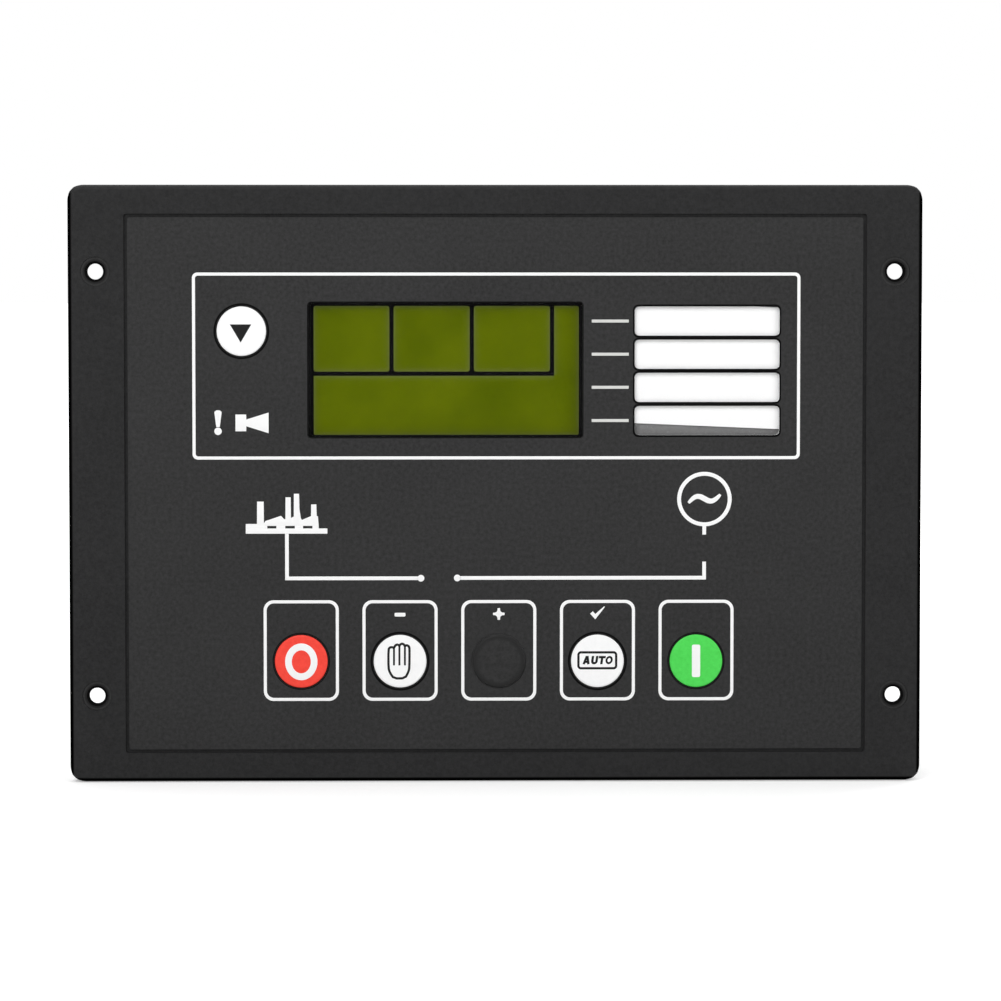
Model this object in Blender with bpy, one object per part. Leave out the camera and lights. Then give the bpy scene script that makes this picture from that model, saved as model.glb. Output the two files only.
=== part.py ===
"""A panel-mounted generator set controller.

Metres, +Z up. The front looks along -Y, and +X is to the right seen from the front.
The plane y = 0 is the back of the flange, where it lies against the switchboard panel,
and the origin is the middle of the panel cut-out.
"""

import math

import bmesh
import bpy

# Moulded fascia: flange, recess for the overlay and the spigot that enters the panel cut-out
PLATE_WIDTH = 0.240
PLATE_HEIGHT = 0.168
PLATE_DEPTH = 0.008
PLATE_CORNER = 0.0038
PLATE_FILLET = 0.0013
PLATE_REAR_CHAMFER = 0.0004
FRONT_WALL = 0.004
FLANGE_SIDE = 0.014
FLANGE_TOP = 0.007
RIM_WALL = 0.0024
SPIGOT_WALL = 0.002
SPIGOT_REACH = 0.002
SPIGOT_CORNER = 0.004
CORING_FLOOR = 0.0032
RIB_THICKNESS = 0.0016
SIDE_POCKETS = 5
TOP_POCKETS = 9
HOLE_FROM_SIDE = 0.0077
HOLE_FROM_TOP = 0.0243
HOLE_DIAMETER = 0.0045
HOLE_RELIEF_DIAMETER = 0.0084
HOLE_RELIEF_DEPTH = 0.0004
HOLE_CHAMFER = 0.0007
HOLE_WALL = 0.0026
HOLE_REAR_DIAMETER = 0.0079
HOLE_BOSS_DIAMETER = 0.0105

# Overlay film in its recess
OVERLAY_BORDER_SIDE = 0.0167
OVERLAY_BORDER_TOP = 0.0091
OVERLAY_GROOVE = 0.001
OVERLAY_CORNER = 0.0007
RECESS_DEPTH = 0.001
FILM_THICKNESS = 0.0005

# Clearance between pieces that lie against each other
FIT = 0.0003

# Keys
KEY_NAMES = ("stop", "manual", "test", "auto", "start")
KEY_ROW_X = 0.00087
KEY_ROW_Z = -0.050
KEY_PITCH = 0.02783
KEY_DIAMETER = 0.015
SCROLL_FROM_LCD = 0.0187
SCROLL_Z = 0.043
SCROLL_DIAMETER = 0.014
KEY_PROUD = 0.0004
KEY_EDGE = 0.0005
KEY_BULGE = 0.00015
KEY_COLLAR = 0.0012
KEY_COLLAR_DEPTH = 0.0012
KEY_STEM_DIAMETER = 0.0036
KEY_TRAVEL = 0.0004
SWITCH_SIDE = 0.006
SWITCH_CORNER = 0.0005
SWITCH_DEPTH = 0.0035
SWITCH_BUTTON_DIAMETER = 0.0033
SWITCH_BUTTON_SPARE = 0.0008
SWITCH_BUTTON_SUNK = 0.0016
SWITCH_CHAMBER_FLOOR = 0.0006

# Lamps behind the film
LED_GENERATOR_X = 0.05887
LED_GENERATOR_Z = -0.01815
LED_LOAD_X = -0.01594
LED_LOAD_Z = -0.02650
LED_DIAMETER = 0.005
LED_FOOT_DIAMETER = 0.0058
LED_FOOT_DEPTH = 0.001

# Display
LCD_X = -0.01412
LCD_Z = 0.0321
LCD_WINDOW_WIDTH = 0.07708
LCD_WINDOW_HEIGHT = 0.0379
LCD_WINDOW_CORNER = 0.0005
LENS_MARGIN_SIDE = 0.0078
LENS_MARGIN_TOP = 0.0072
LENS_THICKNESS = 0.0011
LENS_LEDGE = 0.0018
BEZEL_WALL = 0.0005
BEZEL_BORDER = 0.0006
GLASS_THICKNESS = 0.0028
LIGHT_CHAMFER = 0.001

# Legend windows, insert card and pocket
WINDOW_COUNT = 4
WINDOW_WIDTH = 0.04075
WINDOW_HEIGHT = 0.0082
WINDOW_PITCH = 0.00932
WINDOW_CORNER = 0.0012
WINDOWS_FROM_LCD = 0.01464
WINDOWS_Z = 0.03183
POCKET_MARGIN_SIDE = 0.0026
POCKET_MARGIN_TOP = 0.003
POCKET_DEPTH = 0.0018
POCKET_CORNER = 0.0015
SHEET_THICKNESS = 0.0003
CARD_WIDTH = 0.0435
CARD_HEIGHT = 0.0342
CARD_TILT = math.radians(-2.4)
CARD_UP = 0.0015
CARD_SLOT_WIDTH = 0.0012

# Circuit boards and what joins them
BOARD_THICKNESS = 0.0016
BOARD_MARGIN = 0.003
BOARD_CORNER = 0.002
DISPLAY_BOARD_FRONT = 0.003
BOARD_SPACING = 0.0154
PILLAR_INSET = 0.0055
PILLAR_ACROSS_FLATS = 0.0058
PILLAR_STUD_DIAMETER = 0.0025
PILLAR_STUD_REACH = 0.005
PILLAR_BORE_DEPTH = 0.0075
BOARD_BOSS_DIAMETER = 0.007
BOSS_HOLE_EXTRA = 0.0012
SCREW_DIAMETER = 0.003
SCREW_ENGAGED = 0.006
SCREW_HEAD_DIAMETER = 0.0056
SCREW_HEAD_DEPTH = 0.002
SCREW_RECESS_DIAMETER = 0.0068
SCREW_SEAT_THICKNESS = 0.0035
POST_DIAMETER = 0.0084
LINK_FROM_EDGE = 0.0502
LINK_Z = -0.014
LINK_WIDTH = 0.0335
LINK_HEIGHT = 0.005
LINK_STEP = 0.0008
LINK_SOCKET_DEPTH = 0.0085

# Main board components
COMPONENT_FROM_WALL = 0.0086
RELAY_COUNT = 3
RELAY_FROM_SIDE = 0.0234
RELAY_PITCH = 0.024
RELAY_WIDTH = 0.019
RELAY_HEIGHT = 0.0155
RELAY_DEPTH = 0.0153
RELAY_CORNER = 0.001
RELAY_STEP = 0.0005
CAPACITOR_COUNT = 2
CAPACITOR_FROM_TOP = 0.0162
CAPACITOR_PITCH = 0.0165
CAPACITOR_DIAMETER = 0.0125
CAPACITOR_DEPTH = 0.0158
CAPACITOR_EDGE = 0.0008
CAPACITOR_NECK = 0.0005
CHOKE_FROM_CAPACITOR = 0.0118
CHOKE_RADIUS = 0.0065
CHOKE_THICKNESS = 0.003
PROCESSOR_FROM_SIDE = 0.0479
PROCESSOR_Z = 0.008
PROCESSOR_SIDE = 0.014
PROCESSOR_DEPTH = 0.0014
PROCESSOR_DRAFT = 0.0003

# Rear housing
HOUSING_WALL = 0.0026
LEDGE_REAR = 0.032
HOUSING_DRAFT = 0.0005
HOUSING_EDGE = 0.0015
HUMP_BEYOND_LEDGE = 0.010
HUMP_MARGIN_SIDE = 0.010
HUMP_MARGIN_TOP = 0.0275
HUMP_DRAFT = 0.0025
HUMP_CORNER = 0.006
LIP_WIDTH = 0.0013
LIP_REACH = 0.0025
LIP_ROOT = 0.004
VENT_WIDTH = 0.002
VENT_LENGTH = 0.026
VENT_PITCH = 0.0058
VENT_COUNT = 8
VENT_BANK_X = 0.046
WALL_VENT_COUNT = 12
WALL_VENT_PITCH = 0.0062
WALL_VENT_FROM = 0.0075
WALL_VENT_TO = 0.0185

# Terminal blocks
ROW_FROM_EDGE = 0.0135
POLE_PITCH = 0.00508
VOLTAGE_PITCH = 0.00762
SUPPLY_POLES = 8
INPUT_POLES = 11
CURRENT_POLES = 5
VOLTAGE_POLES = 4
BLOCK_SPACING = 0.006
BLOCK_END = 0.0013
HEADER_HEIGHT = 0.0114
HEADER_DEPTH = 0.012
HEADER_WALL = 0.0011
HEADER_FLOOR = 0.0022
HEADER_OPENING = 0.0004
PLUG_BODY_DEPTH = 0.0148
PLUG_BODY_HEIGHT = 0.0150
PLUG_BODY_INNER = 0.0054
PLUG_CHAMFER = 0.0016
WIRE_ENTRY_WIDTH = 0.0034
WIRE_ENTRY_HEIGHT = 0.0036
WIRE_ENTRY_DEPTH = 0.0045
WIRE_ENTRY_SHIFT = 0.0012
CLAMP_HOLE_DIAMETER = 0.0036
CLAMP_HOLE_DEPTH = 0.0018
CLAMP_FROM_REAR = 0.0075
VOLTAGE_FROM_POST = 0.024
SOCKET_FROM_POST = 0.0296
SOCKET_WIDTH = 0.0158
SOCKET_HEIGHT = 0.0134
SOCKET_DEPTH = 0.0125
SOCKET_MOUTH_WIDTH = 0.0118
SOCKET_MOUTH_HEIGHT = 0.0068
SOCKET_MOUTH_DEPTH = 0.0102
SOCKET_LATCH_WIDTH = 0.0062
SOCKET_LATCH_HEIGHT = 0.0015

# Fineness of round forms, and how far a cutter runs past the wall it cuts
CORNER_STEPS = 3
KEY_FACETS = 22
ROUND_FACETS = 20
SMALL_FACETS = 12
FINE_FACETS = 8
FILLET_STEPS = 3
SMOOTH_ANGLE = math.radians(50)
THROUGH = 0.001

# Places that follow from the sizes above
PLATE_FRONT = -PLATE_DEPTH
WALL_REAR = PLATE_FRONT + FRONT_WALL
RECESS_FLOOR = PLATE_FRONT + RECESS_DEPTH
FILM_REAR = RECESS_FLOOR - FIT
FILM_FRONT = FILM_REAR - FILM_THICKNESS
FILM_WIDTH = PLATE_WIDTH - 2 * OVERLAY_BORDER_SIDE
FILM_HEIGHT = PLATE_HEIGHT - 2 * OVERLAY_BORDER_TOP
SPIGOT_WIDTH = PLATE_WIDTH - 2 * FLANGE_SIDE
SPIGOT_HEIGHT = PLATE_HEIGHT - 2 * FLANGE_TOP
INNER_WIDTH = SPIGOT_WIDTH - 2 * SPIGOT_WALL
INNER_HEIGHT = SPIGOT_HEIGHT - 2 * SPIGOT_WALL
HOLE_X = PLATE_WIDTH / 2 - HOLE_FROM_SIDE
HOLE_Z = PLATE_HEIGHT / 2 - HOLE_FROM_TOP
DISPLAY_BOARD_REAR = DISPLAY_BOARD_FRONT + BOARD_THICKNESS
MAIN_BOARD_FRONT = DISPLAY_BOARD_REAR + BOARD_SPACING
MAIN_BOARD_REAR = MAIN_BOARD_FRONT + BOARD_THICKNESS
BOARD_WIDTH = INNER_WIDTH - 2 * BOARD_MARGIN
BOARD_HEIGHT = INNER_HEIGHT - 2 * BOARD_MARGIN
PILLAR_X = BOARD_WIDTH / 2 - PILLAR_INSET
PILLAR_Z = BOARD_HEIGHT / 2 - PILLAR_INSET
LENS_REAR = RECESS_FLOOR + LENS_THICKNESS
LENS_WIDTH = LCD_WINDOW_WIDTH + 2 * LENS_MARGIN_SIDE
LENS_HEIGHT = LCD_WINDOW_HEIGHT + 2 * LENS_MARGIN_TOP
LENS_OPENING_WIDTH = LENS_WIDTH - 2 * LENS_LEDGE
LENS_OPENING_HEIGHT = LENS_HEIGHT - 2 * LENS_LEDGE
BEZEL_WIDTH = LENS_OPENING_WIDTH - 2 * FIT
BEZEL_HEIGHT = LENS_OPENING_HEIGHT - 2 * FIT
BEZEL_FRONT = LENS_REAR + FIT
BEZEL_REAR = DISPLAY_BOARD_FRONT - FIT
BEZEL_INNER_WIDTH = BEZEL_WIDTH - 2 * BEZEL_WALL
BEZEL_INNER_HEIGHT = BEZEL_HEIGHT - 2 * BEZEL_WALL
GLASS_FRONT = BEZEL_FRONT + BEZEL_WALL + FIT
GLASS_REAR = GLASS_FRONT + GLASS_THICKNESS
SWITCH_REAR = DISPLAY_BOARD_FRONT - FIT
SWITCH_FRONT = SWITCH_REAR - SWITCH_DEPTH
BUTTON_FRONT = SWITCH_FRONT - KEY_TRAVEL - SWITCH_BUTTON_SPARE
BUTTON_REAR = SWITCH_FRONT + SWITCH_BUTTON_SUNK
KEY_STEM_REAR = BUTTON_FRONT - FIT
KEY_COLLAR_FRONT = WALL_REAR + FIT
KEY_CENTRES = {
    name: (KEY_ROW_X + (i - (len(KEY_NAMES) - 1) / 2) * KEY_PITCH, KEY_ROW_Z)
    for i, name in enumerate(KEY_NAMES)
}
SCROLL_X = LCD_X - LCD_WINDOW_WIDTH / 2 - SCROLL_FROM_LCD
KEY_CENTRES["scroll"] = (SCROLL_X, SCROLL_Z)
KEY_DIAMETERS = {name: KEY_DIAMETER for name in KEY_NAMES} | {"scroll": SCROLL_DIAMETER}
LED_CENTRES = {
    "generator": (LED_GENERATOR_X, LED_GENERATOR_Z),
    "load": (LED_LOAD_X, LED_LOAD_Z),
}
WINDOWS_X = LCD_X + LCD_WINDOW_WIDTH / 2 + WINDOWS_FROM_LCD + WINDOW_WIDTH / 2
WINDOW_CENTRES = [
    (WINDOWS_X, WINDOWS_Z + ((WINDOW_COUNT - 1) / 2 - i) * WINDOW_PITCH)
    for i in range(WINDOW_COUNT)
]
POCKET_WIDTH = WINDOW_WIDTH + 2 * POCKET_MARGIN_SIDE
POCKET_HEIGHT = (WINDOW_COUNT - 1) * WINDOW_PITCH + WINDOW_HEIGHT + 2 * POCKET_MARGIN_TOP
WINDOW_SHEET_FRONT = RECESS_FLOOR
CARD_FRONT = WINDOW_SHEET_FRONT + SHEET_THICKNESS + FIT
POCKET_SHEET_FRONT = CARD_FRONT + SHEET_THICKNESS + FIT
POCKET_FLOOR = RECESS_FLOOR + POCKET_DEPTH
HOUSING_FRONT = SPIGOT_REACH + FIT
HUMP_REAR = LEDGE_REAR + HUMP_BEYOND_LEDGE
HUMP_WIDTH = SPIGOT_WIDTH - 2 * HUMP_MARGIN_SIDE
HUMP_HEIGHT = SPIGOT_HEIGHT - 2 * HUMP_MARGIN_TOP
ROOM_SIDE = HUMP_WIDTH / 2 - HOUSING_WALL - HUMP_DRAFT
ROOM_TOP = HUMP_HEIGHT / 2 - HOUSING_WALL - HUMP_DRAFT
RELAY_X = -ROOM_SIDE + RELAY_FROM_SIDE + RELAY_WIDTH / 2
RELAY_Z = -ROOM_TOP + COMPONENT_FROM_WALL + RELAY_HEIGHT / 2
CAPACITOR_X = -ROOM_SIDE + COMPONENT_FROM_WALL + CAPACITOR_DIAMETER / 2
CAPACITOR_Z = ROOM_TOP - CAPACITOR_FROM_TOP - CAPACITOR_DIAMETER / 2
LAST_CAPACITOR_X = CAPACITOR_X + (CAPACITOR_COUNT - 1) * CAPACITOR_PITCH
CHOKE_X = (
    LAST_CAPACITOR_X
    + CAPACITOR_DIAMETER / 2
    + CHOKE_FROM_CAPACITOR
    + CHOKE_RADIUS
    + CHOKE_THICKNESS
)
PROCESSOR_X = ROOM_SIDE - PROCESSOR_FROM_SIDE - PROCESSOR_SIDE / 2
LINK_X = BOARD_WIDTH / 2 - LINK_FROM_EDGE - LINK_WIDTH / 2
VOLTAGE_LENGTH = VOLTAGE_POLES * VOLTAGE_PITCH + 2 * BLOCK_END
VOLTAGE_X = -PILLAR_X + VOLTAGE_FROM_POST + VOLTAGE_LENGTH / 2
SOCKET_X = PILLAR_X - SOCKET_FROM_POST - SOCKET_WIDTH / 2
SCREW_SEAT = MAIN_BOARD_REAR + FIT + SCREW_SEAT_THICKNESS
HEADER_BASE = MAIN_BOARD_REAR + FIT
HEADER_REAR = HEADER_BASE + HEADER_DEPTH
ROW_Z = SPIGOT_HEIGHT / 2 - ROW_FROM_EDGE
CORNERS = [(-1, -1), (1, -1), (1, 1), (-1, 1)]


def rectangle(width, height, radius, centre=(0, 0), steps=CORNER_STEPS):
    """A rounded rectangle in the XZ plane, anticlockwise seen from the front."""
    radius = max(min(radius, width / 2, height / 2), 1e-5)
    points = []
    for quarter, (side, up) in enumerate([(1, 1), (-1, 1), (-1, -1), (1, -1)]):
        x = centre[0] + side * (width / 2 - radius)
        z = centre[1] + up * (height / 2 - radius)
        for step in range(steps + 1):
            angle = (quarter + step / steps) * math.pi / 2
            points.append((x + radius * math.cos(angle), z + radius * math.sin(angle)))
    return points


def circle(diameter, facets=ROUND_FACETS, centre=(0, 0)):
    """A regular outline in the XZ plane, anticlockwise seen from the front."""
    radius = diameter / 2
    angles = [i * math.tau / facets for i in range(facets)]
    return [
        (centre[0] + radius * math.cos(a), centre[1] + radius * math.sin(a))
        for a in angles
    ]


def turned(outline, angle):
    """The outline turned in its own plane about the origin."""
    c, s = math.cos(angle), math.sin(angle)
    return [(x * c - z * s, x * s + z * c) for x, z in outline]


def loft_into(mesh, sections):
    """Add a closed body through sections of (depth, outline), listed from front to back."""
    rings = [[mesh.verts.new((x, y, z)) for x, z in outline] for y, outline in sections]
    count = len(rings[0])
    mesh.faces.new(rings[0])
    mesh.faces.new(rings[-1][::-1])
    for front, back in zip(rings, rings[1:]):
        for i in range(count):
            j = (i + 1) % count
            mesh.faces.new((front[i], back[i], back[j], front[j]))


def material(name, colour, roughness, metallic=0.0):
    """One Principled material for one sub-part."""
    made = bpy.data.materials.new(name)
    made.use_nodes = True
    shader = made.node_tree.nodes["Principled BSDF"]
    shader.inputs["Base Color"].default_value = (*colour, 1.0)
    shader.inputs["Roughness"].default_value = roughness
    shader.inputs["Metallic"].default_value = metallic
    return made


def finished(name, mesh, look, location, smooth=False):
    """Turn a bmesh into an object of the scene."""
    data = bpy.data.meshes.new(name)
    mesh.to_mesh(data)
    mesh.free()
    if smooth:
        data.shade_smooth()
        data.set_sharp_from_angle(angle=SMOOTH_ANGLE)
    if look:
        data.materials.append(look)
    made = bpy.data.objects.new(name, data)
    made.location = location
    bpy.context.scene.collection.objects.link(made)
    return made


def piece(name, bodies, look, centre=(0, 0), smooth=False):
    """An object made of lofted bodies, standing at a place on the panel."""
    mesh = bmesh.new()
    for sections in bodies:
        loft_into(mesh, sections)
    return finished(name, mesh, look, (centre[0], 0, centre[1]), smooth)


def combine(target, operation, tool):
    """One live Boolean between the target and a tool that isn't rendered."""
    tool.location = target.location
    tool.hide_render = True
    tool.display_type = "WIRE"
    modifier = target.modifiers.new(tool.name, "BOOLEAN")
    modifier.operation = operation
    modifier.solver = "EXACT"
    modifier.object = tool


def cut(target, name, bodies):
    combine(target, "DIFFERENCE", piece(name, bodies, None))


def join(target, name, bodies):
    combine(target, "UNION", piece(name, bodies, None))


def straight(front, rear, outline):
    """The sections of a plain prism."""
    return [(front, outline), (rear, outline)]


def box(front, rear, width, height, centre=(0, 0)):
    """The sections of a square-edged block."""
    half_width, half_height = width / 2, height / 2
    corners = [(half_width, half_height), (-half_width, half_height)]
    corners += [(-half_width, -half_height), (half_width, -half_height)]
    return straight(front, rear, [(centre[0] + x, centre[1] + z) for x, z in corners])


def filleted(front, rear, width, height, corner, fillet, draft=0.0, at_rear=False):
    """A block whose front or rear edge is rounded, and which tapers by its draft."""
    sections = []
    reach = rear - front
    for step in range(FILLET_STEPS + 1):
        angle = step / FILLET_STEPS * math.pi / 2
        inset = fillet * (1 - math.sin(angle))
        depth = fillet * (1 - math.cos(angle))
        if at_rear:
            inset += draft * (1 - depth / reach)
        outline = rectangle(width - 2 * inset, height - 2 * inset, corner - inset)
        sections.append((rear - depth if at_rear else front + depth, outline))
    full = rectangle(width, height, corner)
    if at_rear:
        return [(front, full)] + sections[::-1]
    return sections + [(rear, full)]


def span(first, last, count, web):
    """Centres and length of equal pockets with a web between them."""
    length = (last - first - (count - 1) * web) / count
    return [first + length / 2 + i * (length + web) for i in range(count)], length


# Looks
BLACK_PLASTIC = material("black_moulded_plastic", (0.030, 0.031, 0.033), 0.55)
OVERLAY_BLACK = material("black_overlay_film", (0.034, 0.034, 0.036), 0.5)
CLEAR = material("clear_window", (0.9, 0.92, 0.92), 0.08)
CARD_WHITE = material("white_card", (0.85, 0.85, 0.85), 0.7)
POCKET_GREY = material("grey_pocket_sheet", (0.2, 0.2, 0.2), 0.6)
LCD_GREEN = material("lcd_green_glass", (0.09, 0.13, 0.005), 0.2)
STEEL = material("zinc_plated_steel", (0.6, 0.6, 0.58), 0.35, 1.0)
BLACK_STEEL = material("black_steel", (0.02, 0.02, 0.02), 0.45, 0.6)
LIGHT_BOX = material("lcd_light_box", (0.75, 0.76, 0.7), 0.4)
BOARD_GREEN = material("circuit_board", (0.01, 0.13, 0.04), 0.4)
BRASS = material("nickel_brass", (0.62, 0.55, 0.36), 0.3, 1.0)
RELAY_BLUE = material("relay_blue", (0.02, 0.08, 0.3), 0.4)
SLEEVE_BLACK = material("capacitor_sleeve", (0.02, 0.02, 0.03), 0.35)
FERRITE = material("ferrite_and_wire", (0.35, 0.12, 0.03), 0.4)
CHIP_BLACK = material("chip_black", (0.02, 0.02, 0.02), 0.5)
TERMINAL_GREEN = material("terminal_green", (0.01, 0.2, 0.06), 0.45)
LED_RED = material("led_red", (0.5, 0.02, 0.01), 0.2)
KEY_LOOKS = {
    "stop": material("key_red", (0.9, 0.05, 0.03), 0.45),
    "manual": material("key_white_manual", (0.85, 0.85, 0.85), 0.45),
    "test": material("key_black", (0.034, 0.034, 0.036), 0.5),
    "auto": material("key_white_auto", (0.85, 0.85, 0.85), 0.45),
    "start": material("key_green", (0.06, 0.66, 0.08), 0.45),
    "scroll": material("key_white_scroll", (0.85, 0.85, 0.85), 0.45),
}


def coring_pockets():
    """Pockets that core out the back of the flange, with ribs and solid pads between them."""
    floor = PLATE_FRONT + CORING_FLOOR
    pockets = []
    side_inner, side_outer = SPIGOT_WIDTH / 2, PLATE_WIDTH / 2 - RIM_WALL
    middle, breadth = (side_inner + side_outer) / 2, side_outer - side_inner
    boss_edge = HOLE_Z - HOLE_BOSS_DIAMETER / 2
    centres, length = span(-boss_edge, boss_edge, SIDE_POCKETS, RIB_THICKNESS)
    corner_from = HOLE_Z + HOLE_BOSS_DIAMETER / 2
    corner_to = SPIGOT_HEIGHT / 2 - RIB_THICKNESS
    pad = SIDE_POCKETS // 2
    for side in (-1, 1):
        for z in centres[:pad] + centres[pad + 1 :]:
            pockets.append(box(floor, THROUGH, breadth, length, (side * middle, z)))
        for up in (-1, 1):
            corner = (side * middle, up * (corner_from + corner_to) / 2)
            pockets.append(box(floor, THROUGH, breadth, corner_to - corner_from, corner))
    top_inner, top_outer = SPIGOT_HEIGHT / 2, PLATE_HEIGHT / 2 - RIM_WALL
    centres, length = span(-side_inner, side_inner, TOP_POCKETS, RIB_THICKNESS)
    for up in (-1, 1):
        for x in centres:
            place = (x, up * (top_inner + top_outer) / 2)
            pockets.append(box(floor, THROUGH, length, top_outer - top_inner, place))
    return pockets


def mounting_hole(x, z):
    """A through hole in a thin front wall: relief and chamfer in front, a wide bore behind."""
    def ring(diameter):
        return circle(diameter, ROUND_FACETS, (x, z))

    relief_floor = PLATE_FRONT + HOLE_RELIEF_DEPTH
    return [
        (PLATE_FRONT - THROUGH, ring(HOLE_RELIEF_DIAMETER)),
        (relief_floor, ring(HOLE_RELIEF_DIAMETER)),
        (relief_floor, ring(HOLE_DIAMETER + 2 * HOLE_CHAMFER)),
        (relief_floor + HOLE_CHAMFER, ring(HOLE_DIAMETER)),
        (PLATE_FRONT + HOLE_WALL, ring(HOLE_DIAMETER)),
        (PLATE_FRONT + HOLE_WALL, ring(HOLE_REAR_DIAMETER)),
        (THROUGH, ring(HOLE_REAR_DIAMETER)),
    ]


def make_fascia():
    """The moulded front: flange, spigot, recess, key wells, display and pocket openings."""
    front = filleted(
        PLATE_FRONT, -PLATE_REAR_CHAMFER, PLATE_WIDTH, PLATE_HEIGHT, PLATE_CORNER, PLATE_FILLET
    )
    rear = rectangle(
        PLATE_WIDTH - 2 * PLATE_REAR_CHAMFER,
        PLATE_HEIGHT - 2 * PLATE_REAR_CHAMFER,
        PLATE_CORNER - PLATE_REAR_CHAMFER,
    )
    fascia = piece("fascia", [front + [(0.0, rear)]], BLACK_PLASTIC)
    cut(fascia, "flange_coring", coring_pockets())
    spigot = rectangle(SPIGOT_WIDTH, SPIGOT_HEIGHT, SPIGOT_CORNER)
    join(fascia, "spigot", [straight(WALL_REAR - THROUGH, SPIGOT_REACH, spigot)])
    inner = rectangle(INNER_WIDTH, INNER_HEIGHT, SPIGOT_CORNER - SPIGOT_WALL)
    cut(fascia, "inside", [straight(WALL_REAR, SPIGOT_REACH + THROUGH, inner)])
    recess = rectangle(
        FILM_WIDTH + 2 * OVERLAY_GROOVE, FILM_HEIGHT + 2 * OVERLAY_GROOVE, OVERLAY_CORNER
    )
    cut(fascia, "recess", [straight(PLATE_FRONT - THROUGH, RECESS_FLOOR, recess)])
    bosses = [
        straight(
            WALL_REAR - THROUGH,
            DISPLAY_BOARD_FRONT - FIT,
            circle(BOARD_BOSS_DIAMETER, SMALL_FACETS, (side * PILLAR_X, up * PILLAR_Z)),
        )
        for side, up in CORNERS
    ]
    join(fascia, "board_bosses", bosses)
    openings = [mounting_hole(side * HOLE_X, up * HOLE_Z) for side, up in CORNERS]
    boss_hole = PILLAR_STUD_DIAMETER + 2 * FIT
    boss_hole_floor = DISPLAY_BOARD_REAR - PILLAR_STUD_REACH - BOSS_HOLE_EXTRA
    openings += [
        straight(
            boss_hole_floor,
            DISPLAY_BOARD_FRONT,
            circle(boss_hole, SMALL_FACETS, (side * PILLAR_X, up * PILLAR_Z)),
        )
        for side, up in CORNERS
    ]
    for name, centre in KEY_CENTRES.items():
        well = circle(KEY_DIAMETERS[name] + 2 * FIT, KEY_FACETS, centre)
        openings.append(straight(RECESS_FLOOR - THROUGH / 2, WALL_REAR + THROUGH, well))
    for centre in LED_CENTRES.values():
        well = circle(LED_DIAMETER + 2 * FIT, ROUND_FACETS, centre)
        openings.append(straight(RECESS_FLOOR - THROUGH / 2, WALL_REAR + THROUGH, well))
    lens_bed = rectangle(
        LENS_WIDTH + 2 * FIT, LENS_HEIGHT + 2 * FIT, LCD_WINDOW_CORNER, (LCD_X, LCD_Z)
    )
    lens_opening = rectangle(
        LENS_OPENING_WIDTH, LENS_OPENING_HEIGHT, LCD_WINDOW_CORNER, (LCD_X, LCD_Z)
    )
    openings.append(
        [
            (RECESS_FLOOR - THROUGH / 2, lens_bed),
            (LENS_REAR + FIT, lens_bed),
            (LENS_REAR + FIT, lens_opening),
            (WALL_REAR + THROUGH, lens_opening),
        ]
    )
    pocket = rectangle(POCKET_WIDTH, POCKET_HEIGHT, POCKET_CORNER, (WINDOWS_X, WINDOWS_Z))
    openings.append(straight(RECESS_FLOOR - THROUGH / 2, POCKET_FLOOR, pocket))
    cut(fascia, "openings", openings)
    slot_x = WINDOWS_X + POCKET_WIDTH / 2 - CARD_SLOT_WIDTH / 2 - FIT
    slot_height = POCKET_HEIGHT - 2 * POCKET_CORNER
    slot = box(
        POCKET_FLOOR - FIT, WALL_REAR + THROUGH, CARD_SLOT_WIDTH, slot_height, (slot_x, WINDOWS_Z)
    )
    cut(fascia, "card_slot", [slot])


def make_overlay():
    """The graphic film, the clear window layer, the insert card and its pocket sheet."""
    sheet = rectangle(FILM_WIDTH, FILM_HEIGHT, OVERLAY_CORNER)
    film = piece("overlay_film", [straight(FILM_FRONT, FILM_REAR, sheet)], OVERLAY_BLACK)
    front, rear = FILM_FRONT - THROUGH, FILM_REAR + THROUGH
    openings = [
        straight(front, rear, circle(KEY_DIAMETERS[name] + 2 * FIT, KEY_FACETS, centre))
        for name, centre in KEY_CENTRES.items()
    ]
    lcd_window = rectangle(
        LCD_WINDOW_WIDTH, LCD_WINDOW_HEIGHT, LCD_WINDOW_CORNER, (LCD_X, LCD_Z)
    )
    openings.append(straight(front, rear, lcd_window))
    openings += [
        straight(front, rear, rectangle(WINDOW_WIDTH, WINDOW_HEIGHT, WINDOW_CORNER, centre))
        for centre in WINDOW_CENTRES
    ]
    cut(film, "film_openings", openings)

    middle = (WINDOWS_X, WINDOWS_Z)
    width, height = POCKET_WIDTH - 2 * FIT, POCKET_HEIGHT - 2 * FIT
    corner = POCKET_CORNER - FIT
    outline = rectangle(width, height, corner, middle)
    clear_rear = WINDOW_SHEET_FRONT + SHEET_THICKNESS
    clear = piece("window_film", [straight(WINDOW_SHEET_FRONT, clear_rear, outline)], CLEAR)
    pads = [
        straight(
            FILM_FRONT,
            WINDOW_SHEET_FRONT + SHEET_THICKNESS / 2,
            rectangle(WINDOW_WIDTH - 2 * FIT, WINDOW_HEIGHT - 2 * FIT, WINDOW_CORNER - FIT, centre),
        )
        for centre in WINDOW_CENTRES
    ]
    join(clear, "window_pads", pads)
    card = turned(rectangle(CARD_WIDTH, CARD_HEIGHT, FIT), CARD_TILT)
    piece(
        "label_card",
        [straight(CARD_FRONT, CARD_FRONT + SHEET_THICKNESS, card)],
        CARD_WHITE,
        (WINDOWS_X, WINDOWS_Z + CARD_UP),
    )
    backing = straight(POCKET_SHEET_FRONT, POCKET_SHEET_FRONT + SHEET_THICKNESS, outline)
    piece("card_pocket", [backing], POCKET_GREY)


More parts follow.
